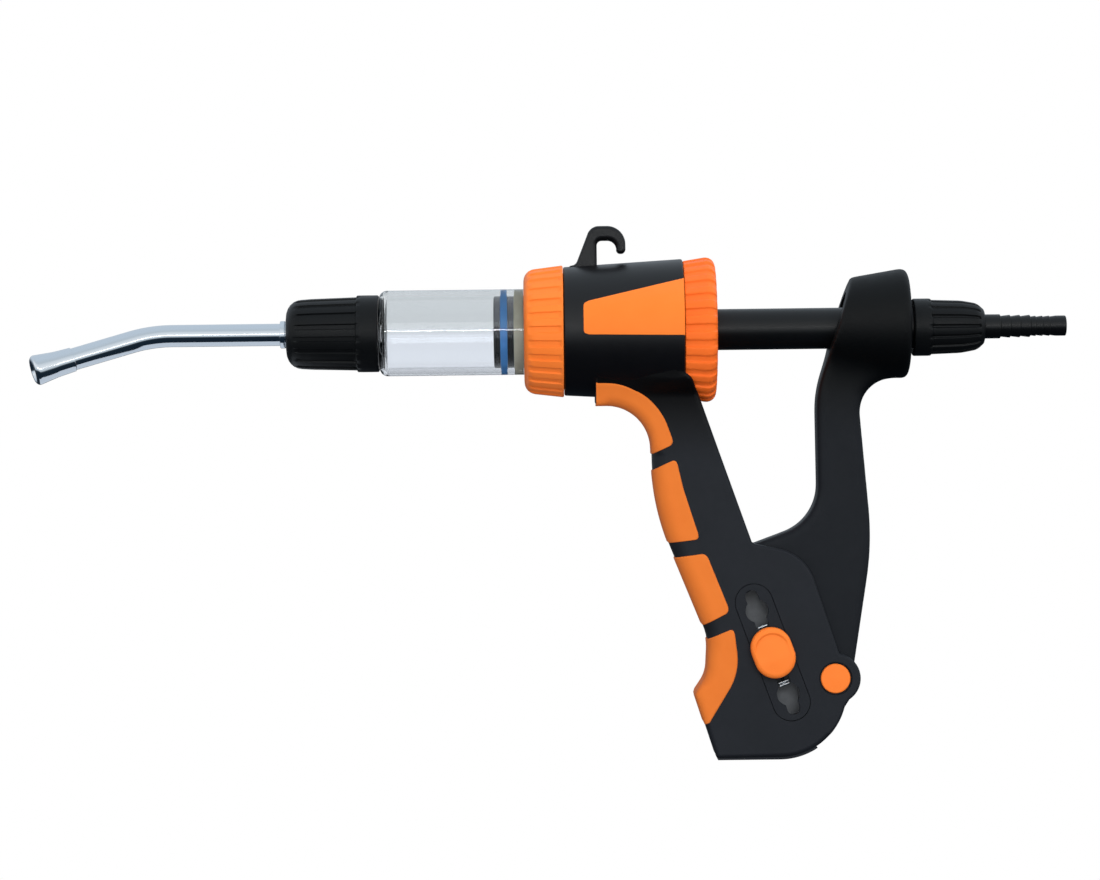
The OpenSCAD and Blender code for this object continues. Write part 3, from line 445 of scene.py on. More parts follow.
# Studio: camera as in the photograph, pale floor, soft light.
studioSet = {
    "aim": (-0.0223, 0, -0.0755), "distance": 1.33, "lens": 114.5, "tiltDeg": 0.68,
    "floorZ": -0.45, "floorRadius": 1.3, "floorColour": "#f2f2f0",
    "floorGlow": {"From Min": 0.1, "From Max": 1.2, "To Min": 0.45, "To Max": 1.0},  # white at its edge
    "lamps": {  # place, size, watts
        "topSoftbox": ((0.02, -0.10, 0.85), (1.3, 0.8), 3.2),
        "frontSoftbox": ((0.35, -1.48, 0.58), (1.3, 0.5), 13.6),
        "fillSoftbox": ((0.0, -1.38, -0.36), (1.4, 0.3), 3.0),
        "rimSoftbox": ((1.05, 0.25, 0.35), (0.5, 0.8), 4.0),
        "stripSoftbox": ((0.0, -1.40, 0.12), (1.8, 0.05), 1.3),   # soft bright line along round pieces
        "lineSoftbox": ((0.0, -1.40, 0.07), (1.8, 0.04), 15.0)},  # thin line along the clear tube alone
    # pale card under the nozzle, seen in its chrome alone
    "card": {"x": (-0.245, -0.126), "y": (-0.036, 0.25), "z": -0.155, "tone": (0.60, 0.66, 0.73)}}

s = studioSet
camera = addObject("camera", bpy.data.cameras.new("camera"))
aim = s["aim"]
camera.location = (aim[0], -s["distance"], aim[2])
camera.rotation_euler = (radians(90), radians(s["tiltDeg"]), 0)
camera.data.lens, camera.data.sensor_width, camera.data.clip_start = s["lens"], 36, 0.05
scene.camera = camera

world = bpy.data.worlds.new("studioWorld")
scene.world = world
world.use_nodes = True
tree = world.node_tree
path = addNode(tree, "LightPath")
seen = addNode(tree, "Math", {"operation": "MAXIMUM"},
               links={0: (path, "Is Camera Ray"), 1: (path, "Is Transmission Ray")})
place = addNode(tree, "TexCoord")
parts = addNode(tree, "SeparateXYZ", links={0: (place, "Generated")})
lift, rear = (
    addNode(tree, "MapRange", inputs={"From Min": -end, "From Max": end}, links={"Value": (parts, axis)})
    for end, axis in ((1.0, "Z"), (0.15, "Y")))
skyTone, frontTone, backTone = (
    addNode(tree, "ValToRGB", links={"Fac": (lift, "Result")}, stops=stops) for stops in (
        # soft light, less from below
        [(0.0, (0.44, 0.44, 0.45)), (1.0, (0.58, 0.59, 0.61)), (0.5, (0.42, 0.42, 0.43))],
        # what shiny pieces see in front: dark below, pale above
        [(0.0, (0.008, 0.016, 0.028)), (1.0, (0.62, 0.71, 0.79)), (0.28, (0.012, 0.022, 0.034)),
         (0.345, (0.03, 0.045, 0.06)), (0.385, (0.40, 0.46, 0.50)), (0.43, (0.66, 0.72, 0.76)),
         (0.50, (0.74, 0.80, 0.84)), (0.57, (0.98, 1.0, 1.0)), (0.67, (0.90, 0.94, 0.96)),
         (0.80, (0.74, 0.80, 0.84)), (0.88, (0.58, 0.65, 0.70))],
        # and behind: pale backdrop, dark table edge
        [(0.0, (0.010, 0.018, 0.030)), (1.0, (0.62, 0.71, 0.79)), (0.40, (0.03, 0.04, 0.05)),
         (0.50, (0.22, 0.25, 0.28)), (0.58, (0.46, 0.52, 0.58)), (0.70, (0.62, 0.70, 0.78))]))
roomTone = addNode(tree, "Mix", colourMix,
                   links={0: (rear, "Result"), 6: (frontTone, "Color"), 7: (backTone, "Color")})
white = addNode(tree, "Background", inputs={"Color": (1, 1, 1, 1), "Strength": 1.0})
sky = addNode(tree, "Background", links={"Color": (skyTone, "Color")})
room = addNode(tree, "Background", links={"Color": (roomTone, 2)})
skyOrRoom = addNode(tree, "MixShader", links={0: (path, "Is Glossy Ray"), 1: (sky, 0), 2: (room, 0)})
full = addNode(tree, "MixShader", links={0: (seen, 0), 1: (skyOrRoom, 0), 2: (white, 0)})
tree.links.new(full.outputs[0], tree.nodes["World Output"].inputs["Surface"])

for name, (place, size, watts) in s["lamps"].items():
    lamp = addObject(name, bpy.data.lights.new(name, "AREA"))
    lamp.data.shape, lamp.data.size, lamp.data.size_y, lamp.data.energy = "RECTANGLE", *size, watts
    lamp.location = place
    lamp.rotation_euler = (Vector(aim) - Vector(place)).to_track_quat("-Z", "Y").to_euler()
    lamp.visible_camera = False
    lamp.visible_transmission = name != "lineSoftbox"
    lamp.visible_glossy = name in ("stripSoftbox", "lineSoftbox")  # shiny pieces mirror the room instead

(left, right), (near, far), height, tone = s["card"].values()
cardMesh = bpy.data.meshes.new("paleCard")
cardMesh.from_pydata([(left, near, height), (right, near, height), (right, far, height), (left, far, height)],
                     [], [(0, 1, 2, 3)])
card = addObject("paleCard", cardMesh)
cardMesh.materials.append(newMaterial("paleCard", {
    "Base Color": (0, 0, 0, 1), "Emission Color": (*tone, 1), "Emission Strength": 1.0})[0])
card.visible_camera = card.visible_diffuse = card.visible_transmission = card.visible_shadow = False

bm = bmesh.new()
bmesh.ops.create_circle(bm, cap_ends=True, radius=s["floorRadius"], segments=96)
floorMesh = bpy.data.meshes.new("studioFloor")
bm.to_mesh(floorMesh)
bm.free()
floor = addObject("studioFloor", floorMesh)
floor.location = (aim[0], 0, s["floorZ"])
material, tree, shader = newMaterial("paleFloor", {"Base Color": linear(s["floorColour"]), "Roughness": 0.9})
path = addNode(tree, "LightPath")
glow = addNode(tree, "Emission", inputs={"Strength": 1.0})
place = addNode(tree, "TexCoord")
radial = addNode(tree, "VectorMath", {"operation": "LENGTH"}, links={0: (place, "Object")})
fade = addNode(tree, "MapRange", softRange, s["floorGlow"], {"Value": (radial, "Value")})
share = addNode(tree, "Math", {"operation": "MULTIPLY"},
                links={0: (fade, "Result"), 1: (path, "Is Camera Ray")})
both = addNode(tree, "MixShader", links={0: (share, 0), 1: (shader, 0), 2: (glow, 0)})
tree.links.new(both.outputs[0], tree.nodes["Material Output"].inputs["Surface"])
floorMesh.materials.append(material)
floor.visible_glossy = floor.visible_diffuse = False  # shiny pieces see the room instead
print("studio set")

# Housing shell and hook.
housingSet = {"front": 24.4, "rear": 27.0, "length": 45.4, "corners": [
    (-7.5, 15, 0.3), (-7.5, 22, 0.5), (0.1, 22, 0), (0.1, 24.4, 0.7), (45.3, 27.0, 0.7), (45.3, 24, 0),
    (52.4, 24, 0.3), (52.4, 19.4, 0.3), (-5, 19.4, 0.2), (-5, 15, 0.2)]}


def housingR(x):
    return housingSet["front"] + (housingSet["rear"] - housingSet["front"]) * x / housingSet["length"]


housing = rawPiece("housing", lathe(refine(roundPath(housingSet["corners"]), 3), 144))
dress(housing, "housingNylon", "gun_body", ["pistol_body"])

hookSet = {"half": 3.5, "corners": [
    (2.6, 22, 0, 0.4), (2.6, 24.7, 0, 0.4), (5.0, 25.3, 2.4, 1.0), (10.7, 39.8, 4.6, 1.5), (23.9, 39.8, 7.0, 1.5),
    (23.9, 29.3, 1.6, 1.2), (20.4, 29.3, 1.5, 1.2), (20.4, 34.3, 3.4, 1.9), (13.0, 34.3, 1.9, 1.9),
    (13.0, 22, 0, 1.2)]}
hook = rawPiece("hangingHook", slab(roundPath(hookSet["corners"], step=7), -hookSet["half"], hookSet["half"]))
dress(hook, "housingNylon", "gun_body", ["pistol_body"])

# Side inlays, flush panels on the housing.
inlaySet = {"left": 7.5, "right": 45.25, "leftZ": (-2.1, 10.4), "rightZ": (-2.8, 19.0), "corner": 1.6,
            "edge": 0.45, "proud": 0.14, "sink": 0.9}
for name, side in (("inlay_left", -1), ("inlay_right", 1)):
    s = inlaySet
    grid = []
    for d in spread(s["right"] - s["left"], s["edge"], 1.5):
        share = d / (s["right"] - s["left"])
        low, high = (s["leftZ"][k] + (s["rightZ"][k] - s["leftZ"][k]) * share for k in (0, 1))
        back = max(0.0, s["corner"] - d)
        cut = s["corner"] - sqrt(s["corner"] ** 2 - back ** 2)
        row, x = [], s["left"] + d
        for e in spread(high - low - 2 * cut, s["edge"], (high - low - 2 * s["edge"]) / 16):
            z = low + cut + e
            row.append(Vector((x, side * sqrt(housingR(x) ** 2 - z * z), z)))
        grid.append(row)
    shape = skin(evenRows(grid), s["edge"], s["proud"], s["sink"], lambda p: Vector((p.x, 0, 0)))
    dress(rawPiece(name, shape), "inlayAbs", "gun_body", [name])
print("housing made")

# Handle: rounded slab that flares into the housing.
heelX, heelZ, heelR = 79.8, -136.6, 25.4
handleSet = {
    "half": 12.0, "flare": 4.7, "flareAt": -19.6, "flareRun": 9.0, "flareTop": -17.0, "flareEnd": -56.0,
    "flareRows": 36,
    "corners": [  # x, z, corner radius, edge rounding
        (11.7, -12, 0, 1.2), (11.7, -28, 1.4, 1.4), (33.03, -27.98, 17, 3.4), (33.13, -65.93, 94.9, 5.5),
        (53.63, -116.97, 20, 5.5), (53.02, -130.55, 14, 4.2), (48.28, -137.9, 2.4, 2.2), (56.0, -162.0, 1.7, 1.6)]
    + arcPoints(heelX, heelZ, heelR, -90, -44, 2.0, 12) + arcPoints(heelX, heelZ, heelR, -40, -15, 1.2, 7)
    + arcPoints(pivotX, pivotZ, 9.5, -57, 81.5, 1.0)
    + [(90.3, -85.5, 17.5, 1.0), (70.2, -80.98, 1.5, 1.2), (48.28, -18, 0, 2.2), (44, -12, 0, 2.0)]}
slotLean = radians(20)  # the dose slot runs down the cheek
slotAxis = (sin(slotLean), -cos(slotLean))
doseX, doseZ, dosePitch = 77.362, -122.209, 16.7


def alongSlot(along, across=0.0):
    return (doseX + along * slotAxis[0] + across * slotAxis[1], doseZ + along * slotAxis[1] - across * slotAxis[0])


def slotSlab(name, reach, radius, low, high, shift=0.0, edge=0.0, steps=1):  # rounded strip along the dose slot
    outline = stadium(*alongSlot(shift), slotAxis, reach, radius)
    return rawPiece(name, slab(plain(outline, edge), low, high, steps))


def flareScale(z):
    s = handleSet
    return 1 + s["flare"] / s["half"] * exp((min(z, s["flareTop"]) - s["flareAt"]) / s["flareRun"])


skirtSet = {"start": 20.0, "full": 44.5, "radius": (26.6, 28.3), "top": -15.0, "low": -19.5,  # hugs the rear cap
            "columns": 18, "pitch": 1.7, "above": -31}


def flankScale(x, z):
    s = skirtSet
    flank = half * flareScale(z)
    radius = s["radius"][0] + (s["radius"][1] - s["radius"][0]) * ramp(z, s["top"], s["low"])
    hug = sqrt(max(0.0, radius * radius - z * z))
    return (flank + max(0.0, hug - flank) * ramp(x, s["start"], s["full"])) / half


half = handleSet["half"]
handle = rawPiece("handle", slab(roundPath(handleSet["corners"], step=6), -half, half))
bm = bmesh.new()
bm.from_mesh(handle.data)
s = handleSet
for k in range(s["flareRows"]):  # rows of points so the flare can curve
    z = s["flareEnd"] + (s["flareTop"] - s["flareEnd"]) * (k / (s["flareRows"] - 1))
    crossCut(bm, (0, 0, (z - hookSeat.z) * mm), (0, 0, 1))
s = skirtSet
for k in range(s["columns"]):  # and columns for the skirt
    near = [f for f in bm.faces if f.calc_center_median().z / mm + hookSeat.z > s["above"]]
    crossCut(bm, ((s["start"] + s["pitch"] * k - hookSeat.x) * mm, 0, 0), (1, 0, 0), faces=near)
for v in bm.verts:
    v.co.y *= flankScale(v.co.x / mm + hookSeat.x, v.co.z / mm + hookSeat.z)
bm.to_mesh(handle.data)
bm.free()

leverThrow = radians(17.498)


def spun(x, z, turn):
    dx, dz = x - pivotX, z - pivotZ
    return (pivotX + dx * cos(turn) - dz * sin(turn), pivotZ + dx * sin(turn) + dz * cos(turn))


roomSet = {  # room inside the handle, sizes as drill and slotSlab take them
    "web": [(65.95, -83.27), (64.84, -92.92), (65.55, -107.98), (72.51, -133.01), (76.96, -145.93),
            (85.95, -150.51)],
    "webHalf": 8.4, "webGap": 1.3, "behind": [(9.5, -9.5), (19, 0)], "top": [(pivotX + 19, -79.4), (75.4, -79.4)],
    "rearCap": [(45.4, 0), (45.4, 26.9), (57.6, 28.6), (117.4, 28.6), (117.4, 0)],
    "bore": (5, 60, 16.6, 96),  # for the rod's collar and spring
    "plate": (20.0, 7.25, -13, -10), "pocket": (20.0, 5.5, -11, -8),
    "tunnel": (25.8, 3.7, -10.3, -8, 1.5),  # for the clip's travel
    "pivotCapR": 6.3, "pivotCaps": ((-14, -10.4), (10.4, 14))}
s = roomSet
swept = []
for i, (x, z) in enumerate(s["web"]):  # space that the lever's web sweeps between the cheeks
    away = (Vector((x, z)) - Vector((pivotX, pivotZ))).normalized() * s["webGap"]
    for share in (0, 0.25, 0.5, 0.75, 1) if i == 0 else (1,):
        swept.append(spun(x + away.x, z + away.y, leverThrow * share))
swept += [(pivotX + x, pivotZ + z) for x, z in s["behind"]] + s["top"]
cutters = [rawPiece("webTool", slab(plain(swept), -s["webHalf"], s["webHalf"], 1)),
           rawPiece("rearCapTool", lathe(s["rearCap"], 144)), drill("boreTool", *s["bore"])]
cutters += [slotSlab(name + "Tool", *s[name]) for name in ("plate", "pocket", "tunnel")]
capOutline = plain(arcPoints(pivotX, pivotZ, s["pivotCapR"], 2, 356, 0, 59))
cutters += [rawPiece("pivotCapTool", slab(capOutline, low, high, 1)) for low, high in s["pivotCaps"]]
cutAway(handle, cutters)
dress(handle, "satinNylon", "gun_body", ["pistol_body"])
lipSet = {"half": 11.0, "outer": 26.1, "inner": 23.0, "to": -57.0, "edge": 0.3,
          "front": ((56.4, -162.7), (55.7, -159.6))}
s = lipSet
lip = [s["front"][0], *arcPoints(heelX, heelZ, s["outer"], -90, s["to"], 0),
       *arcPoints(heelX, heelZ, s["inner"], s["to"], -90, 0), s["front"][1]]
footLip = rawPiece("footLip", slab(plain(lip, s["edge"]), -s["half"], s["half"], 3))
dress(footLip, "satinNylon", "gun_body", ["pistol_body"])
print("handle made")

# Grip pads, skins wrapped round the handle's front.
padSet = {
    "proud": 0.45, "edge": 0.9, "sink": 1.1, "pitch": 1.2, "look": 0.6, "core": (9, 0.3, 4), "coreTop": -50,
    "front": [(10.6, -28, 0, 1.4), (14.9, -28, 0, 1.4)] + handleSet["corners"][2:8],
    # each pad: where it starts and ends on the front, corner radii there, its edge on the flank
    "pad_index": {"from": (10.6, -28.0), "to": (33.08, -46.8), "ends": (0.6, 2.0), "trim": 12.0,
                  "border": [(10.6, -20.0, 0), (33.0, -19.9, 25), (41.3, -43.2, 0)]},
    "pad_upper": {"from": (33.3, -53.1), "to": (39.0, -80.5), "ends": (2.0, 2.0),
                  "border": [(42.0, -48.8, 0), (44.5, -60, 40), (50.6, -79.3, 0)]},
    "pad_lower": {"from": (41.2, -86.0), "to": (51.5, -111.7), "ends": (2.0, 2.0),
                  "border": [(52.9, -84.6, 0), (57.0, -95.0, 60), (61.6, -106.7, 0)]},
    "pad_heel": {"from": (52.9, -117.0), "to": (51.9, -149.0), "ends": (2.0, 0.3),
                 "border": [(63.0, -112.9, 0), (65.0, -129.6, 22), (53.4, -148.4, 0)]}}
front = refine(roundPath(padSet["front"], False, 4), 0.4, False)
lengths = reachAlong(front)


def alongPath(path, reach, at):
    at = min(max(at, 0.0), reach[-1] - 1e-6)
    i = next(k for k in range(len(reach) - 1) if reach[k + 1] > at)
    t = (at - reach[i]) / (reach[i + 1] - reach[i])
    return [p + (q - p) * t for p, q in zip(path[i], path[i + 1])]


def padCore(p):  # a point within the handle, for the way out
    back, share, up = padSet["core"]
    return Vector((p.x + back, p.y * share, p.z + (up if p.z > padSet["coreTop"] else 0)))


for name in ("pad_index", "pad_upper", "pad_lower", "pad_heel"):
    s = padSet[name]
    first, last = (lengths[min(range(len(front)), key=lambda k: dist(front[k][:2], s[end]))]
                   for end in ("from", "to"))
    border = refine(roundPath(s["border"], False, 4), 0.5, False)
    borderReach = reachAlong(border)
    grid = []
    for d in spread(last - first, padSet["edge"], padSet["pitch"]):
        share = d / (last - first)
        x, z, edge = alongPath(front, lengths, first + d)
        ahead, behind = (Vector(alongPath(front, lengths, first + d + look)[:2])
                         for look in (padSet["look"], -padSet["look"]))
        going = (ahead - behind).normalized()
        inward = Vector((-going.y, going.x))
        across = Vector(alongPath(border, borderReach, share * borderReach[-1])[:2]) - Vector((x, z))
        ends = (share * borderReach[-1], (1 - share) * borderReach[-1])
        cut = sum(r - sqrt(r * r - max(0.0, r - e) ** 2) for r, e in zip(s["ends"], ends))
        reach = max(0.5, across.length - cut)
        across = across.normalized() if across.dot(inward) > 0.5 else inward
        slant = max(0.3, across.dot(inward))  # depth gained per mm along the row
        flat, bend = half - edge, edge * acos(max(0.0, 1 - reach * slant / edge))
        total = flat + bend + max(0.0, reach - edge / slant)
        row = []
        for e in spread(100.0, 100 * padSet["edge"] / (2 * total), 2.0):
            v = (e / 50 - 1) * total
            side, v = (-1 if v < 0 else 1), abs(v)
            turn = min(max(0.0, v - flat), bend) / edge
            y = min(v, flat) + edge * sin(turn)
            spot = Vector((x, z)) + across * (edge * (1 - cos(turn)) / slant + max(0.0, v - flat - bend))
            row.append(Vector((spot.x, side * y * flareScale(spot.y), spot.y)))
        grid.append(row)
    pad = rawPiece(name, skin(evenRows(grid), padSet["edge"], padSet["proud"], padSet["sink"], padCore))
    if "trim" in s:  # end cut square
        ahead = plain([(0, -45), (s["trim"], -45), (s["trim"], -5), (0, -5)])
        cutAway(pad, [rawPiece("trimTool", slab(ahead, -30, 30, 1))])
    dress(pad, "softElastomer", "gun_body", [name], 50 if "trim" in s else 60, False)
print("pads made")


# Ribbed rings, nuts and plain rings on the barrel axis.
def ribs(count, swell, depth, valley, edge, first, last, fade, least):
    def shape(t, r, a):
        if r < least:
            return r
        c = abs(2 * ((a * count / (2 * pi)) % 1) - 1)  # 0 on the rib, 1 in the valley
        drop = swell * c * c + depth * smoothStep((c - 1 + valley) / edge)
        return r - drop * smoothStep((t - first) / fade) * smoothStep((last - t) / fade)
    return shape


def ribTurns(count, swell, depth, valley, edge, *rest):  # points close together where a rib steps down
    low, high = 1 - valley, 1 - valley + edge
    steps = [0, low / 2] + [low + edge * k / 4 for k in range(5)] + ([(1 + high) / 2, 1] if high < 0.99 else [])
    shares = sorted({round(0.5 + side * c / 2, 6) for c in steps for side in (-1, 1)} - {1.0})
    return [2 * pi * (k + share) / count for k in range(count) for share in shares]


def turned(finish, body, corners, **more):  # settings of a piece that is turned about one axis
    return {"finish": finish, "body": body, "corners": corners,
            "fine": 3, "around": 96, "place": alongBarrel, **more}


def makeTurned(pieces):
    made = {}
    for name, s in pieces.items():
        profile = refine(roundPath(s["corners"], step=15), s["fine"])
        around, shape = (ribTurns(*s["ribs"]), ribs(*s["ribs"])) if "ribs" in s else (s["around"], None)
        piece = rawPiece(name, lathe(profile, around, s["place"], shape))
        made[name] = dress(piece, s["finish"], s["body"], [name])
    return made


turnedSet = {  # corners: distance along the axis, radius, rounding
    "front_collar": turned("orangeAbs", "gun_body", [
        (-15, 16.35, 0.3), (-15, 23.3, 4.6), (-0.05, 25.1, 0.6), (-0.05, 22.05, 0.2), (-12, 22.05, 0.2),
        (-12, 16.35, 0.2)], fine=0.8, ribs=(28, 0.10, 0.60, 0.54, 0.16, -13.6, -0.3, 1.4, 20.0)),
    "rear_cap": turned("deepOrangeAbs", "gun_body", [
        (45.45, 24.05, 0.2), (45.45, 26.2, 0.5), (57.6, 28.1, 3.6), (57.6, 9.6, 0.3), (54.6, 9.6, 0.1),
        (54.6, 24.05, 0.2)], fine=0.6, ribs=(28, 0.14, 0.66, 0.54, 0.18, 44.4, 60.5, 1.6, 21.5)),
    "nozzle_nut": turned("nutNylon", "gun_body", [
        (-105.2, 5.38, 0.15), (-105.2, 12.8, 6.0), (-95.5, 13.45, 14), (-78.4, 13.95, 0.3), (-78.4, 14.6, 0.45),
        (-70.0, 14.6, 0.7), (-70.0, 10.45, 0.2), (-102, 10.45, 0.2), (-102, 5.38, 0.2)],
        fine=0.9, ribs=(18, 0.04, 0.62, 0.46, 0.14, -102.2, -76.8, 2.4, 10.9)),
    "barb_nut": turned("nutNylon", "plunger", [
        (132.5, 7.85, 0.2), (132.5, 10.9, 0.7), (139.5, 10.9, 0.5), (139.5, 10.4, 0.2), (151, 10.0, 16),
        (157, 8.9, 5), (159.8, 6.4, 1.4), (159.8, 4.65, 0.2), (154.8, 4.65, 0.1), (154.8, 7.85, 0.2)],
        fine=0.8, ribs=(16, 0.12, 0.62, 0.40, 0.26, 138.4, 159.4, 1.2, 8.2)),
    "barrel": turned("clearAcrylic", "gun_body", [
        (-9, 14, 0.2), (-9, 22, 0.2), (-12, 22, 0.2), (-12, 16.25, 0.3), (-69.9, 16.25, 3.0), (-69.9, 10.4, 0.3),
        (-97, 10.4, 0.4), (-97, 6.5, 0.2), (-69.9, 6.5, 0.2), (-69.9, 3.5, 0.2), (-67.9, 3.5, 0.2),
        (-67.9, 14, 1.6)], around=192, fine=4, wallR=14.6),
    "barrel_gasket": turned("sealRubber", "gun_body", ring(-9, -7.5, 15, 22, 0.4, 0.4)),
    "outlet_seat": turned("sealRubber", "gun_body", ring(-71.9, -69.9, 3.5, 6.5, 0.4, 0.4)),
    "outlet_retainer": turned("stainlessSteel", "gun_body", ring(-97, -95, 2.8, 6.5, 0.3, 0.3)),
    "nozzle_seal": turned("sealRubber", "gun_body", ring(-98.9, -97, 6.5, 10.4, 0.5, 0.5)),
    "rod_bush": turned("greyAcetal", "gun_body", [
        (53.7, 7.88, 0.3), (57.6, 7.88, 0.4), (57.6, 9.6, 0.3), (54.6, 9.6, 0), (54.6, 12, 0.3), (53.7, 12, 0.3)]),
    "bump_ring": turned("sealRubber", "gun_body", [
        (53.2, 12, 0.4), (53.2, 16.5, 0.6), (54.6, 16.5, 0.4), (54.6, 12, 0.4)]),
    "spring_plate": turned("stainlessSteel", "gun_body", ring(-5, -3, 8.6, 19.4, 0.3, 0.3)),
    "piston_rod": turned("smoothNylon", "plunger", [
        (-15, 3, 0.3), (150.8, 3, 0.3), (150.8, 7.8, 0.6), (-13, 7.8, 0.8), (-13, 12.3, 0.4),
        (-15, 12.3, 0.4)], fine=6),
    "piston_head": turned("pistonNylon", "plunger", [
        (-26.4, 6, 0.4), (-26.4, 13.6, 0.7), (-23.9, 13.6, 0.3), (-23.9, 9.5, 0), (-15, 9.5, 0.2), (-15, 3, 0.2),
        (-18, 3, 0.3), (-18, 6, 0.2)]),
    "piston_seal": turned("blueSilicone", "plunger", ring(-23.9, -21.2, 9.5, 14.03, 0, 0.3)),
    "piston_spacer": turned("pistonNylon", "plunger", ring(-21.2, -18.8, 9.5, 13.6, 0, 0.3)),
    "piston_guide": turned("oliveAcetal", "plunger", ring(-18.8, -15, 9.5, 14.02, 0, 0.3)),
    "inlet_retainer": turned("stainlessSteel", "plunger", ring(-26.4, -24.9, 2.7, 6, 0.3, 0.3)),
    "rod_collar": turned("stainlessSteel", "plunger", ring(49.9, 52.9, 7.8, 15.5, 0.2, 0.5)),
    "barb_seal": turned("sealRubber", "plunger", ring(150.8, 152.3, 2.6, 7.8, 0.3, 0.3)),
    "hose_barb": turned("smoothNylon", "plunger", [
        (152.3, 2.3, 0.2), (152.3, 7.8, 0.3), (154.8, 7.8, 0.2), (154.8, 4.6, 0), (165.8, 4.6, 0.3),
        (166.1, 3.95, 0.1), (169.6, 4.35, 0.25), (169.9, 3.85, 0.1), (173.3, 4.3, 0.25), (173.6, 3.8, 0.1),
        (177.1, 4.25, 0.25), (177.5, 3.6, 0.1), (179.3, 3.85, 0.2), (179.6, 3.5, 0.1), (181.9, 3.85, 0.2),
        (182.2, 3.5, 0.1), (184.5, 3.85, 0.2), (184.8, 3.55, 0.1), (187.1, 3.85, 0.1), (190.9, 3.85, 0.5),
        (190.9, 2.3, 0.4)]),
    "inlet_valve": turned("whiteAcetal", "inlet_poppet", [
        (-20.3, 0, 0), (-20.3, 4.8, 0.4), (-18.3, 4.8, 0.4), (-18.3, 1.2, 0.3), (-12.3, 1.2, 0.3), (-12.3, 0, 0)]),
    "outlet_valve": turned("whiteAcetal", "outlet_poppet", [
        (-82.4, 0, 0), (-82.4, 1.2, 0.3), (-74.4, 1.2, 0.3), (-74.4, 5.6, 0.4), (-72.2, 5.6, 0.4), (-72.2, 0, 0)]),
    "nozzle_ferrule": turned("chromedBrass", "nozzle", [
        (-107.6, 4.2, 0), (-107.6, 5.2, 0.35), (-105.7, 5.2, 0.2), (-105.7, 4.85, 0.15), (-105.2, 4.85, 0.1),
        (-105.2, 5.3, 0.1), (-101.7, 5.3, 0), (-101.7, 9.5, 0.3), (-99.2, 9.5, 0.3), (-99.2, 4.2, 0)]),
}
barrel = makeTurned(turnedSet)["barrel"]
wallR = turnedSet["barrel"]["wallR"]  # the bore lies within
secondFinish(barrel, "clearBore", lambda spot, way: hypot(spot.y, spot.z) < wallR)
clearTube = bpy.data.collections.new("clearTube")  # what the thin line lights
clearTube.objects.link(barrel)
bpy.data.objects["lineSoftbox"].light_linking.receiver_collection = clearTube
print("turned pieces made:", len(turnedSet))

# Springs.
springSet = {  # coil: both ends, mean radius, wire radius, turns; pressed: joint, fixed end, travel
    "return_spring": {
        "body": "gun_body", "coil": (-3.0, 49.9, 12.0, 0.75, 7), "pressed": ("rod_slide", -3.0, 40.6)},
    "inlet_spring": {
        "body": "plunger", "coil": (-24.9, -20.3, 3.2, 0.25, 4), "pressed": ("inlet_valve_lift", -24.9, 1.5)},
    "outlet_spring": {
        "body": "gun_body", "coil": (-95.0, -74.4, 3.6, 0.4, 7), "pressed": ("outlet_valve_lift", -95.0, 2.0)}}
for name, s in springSet.items():
    spring = dress(rawPiece(name, coil(*s["coil"])), "stainlessSteel", s["body"], [name], 60, False)
    joint, fixed, travel = s["pressed"]
    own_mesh(spring)

# Bent nozzle: round pieces laid along the tube's path.
nozzleSet = {"start": -99.2, "bendX": -148.8, "bendR": 38.0, "bendDeg": 23.5, "turnDeg": 46.0, "bentRun": 39.1}
straightRun = nozzleSet["start"] - nozzleSet["bendX"]
bendRun = nozzleSet["bendR"] * radians(nozzleSet["bendDeg"])
tubeRun = straightRun + bendRun + nozzleSet["bentRun"]


def alongNozzle(t, r, a):
    s = nozzleSet
    turn = min(max(0.0, t - straightRun), bendRun) / s["bendR"]
    rest = max(0.0, t - straightRun - bendRun)
    x = s["start"] - min(t, straightRun) - s["bendR"] * sin(turn) - rest * cos(turn)
    z = s["bendR"] * (cos(turn) - 1) - rest * sin(turn)
    up = r * cos(a)
    x, y, z = x - up * sin(turn), r * sin(a), z + up * cos(turn)
    lean = radians(s["turnDeg"])
    return (x, y * cos(lean) + z * sin(lean), z * cos(lean) - y * sin(lean))


nozzlePieces = {  # longest edge, degrees a step, corners as distance from the tube's end, radius and rounding
    "nozzle_tube": (1.5, 8, ring(-tubeRun, -1.4, 2.8, 4.2)),
    "nozzle_tip": (1.0, 10, [(-15.8, 4.2, 0), (-15.8, 4.6, 0.3), (-9, 4.85, 30), (0, 5.95, 1.6), (0, 4.3, 0.5),
                             (-1.6, 3.4, 0.4), (-1.8, 2.8, 0), (-1.4, 4.2, 0)])}
for name, (fine, step, corners) in nozzlePieces.items():
    profile = refine(roundPath([(tubeRun + t, r, bend) for t, r, bend in corners], step=step), fine)
    dress(rawPiece(name, lathe(profile, 96, alongNozzle)), "chromedBrass", "nozzle", [name])
print("nozzle made")

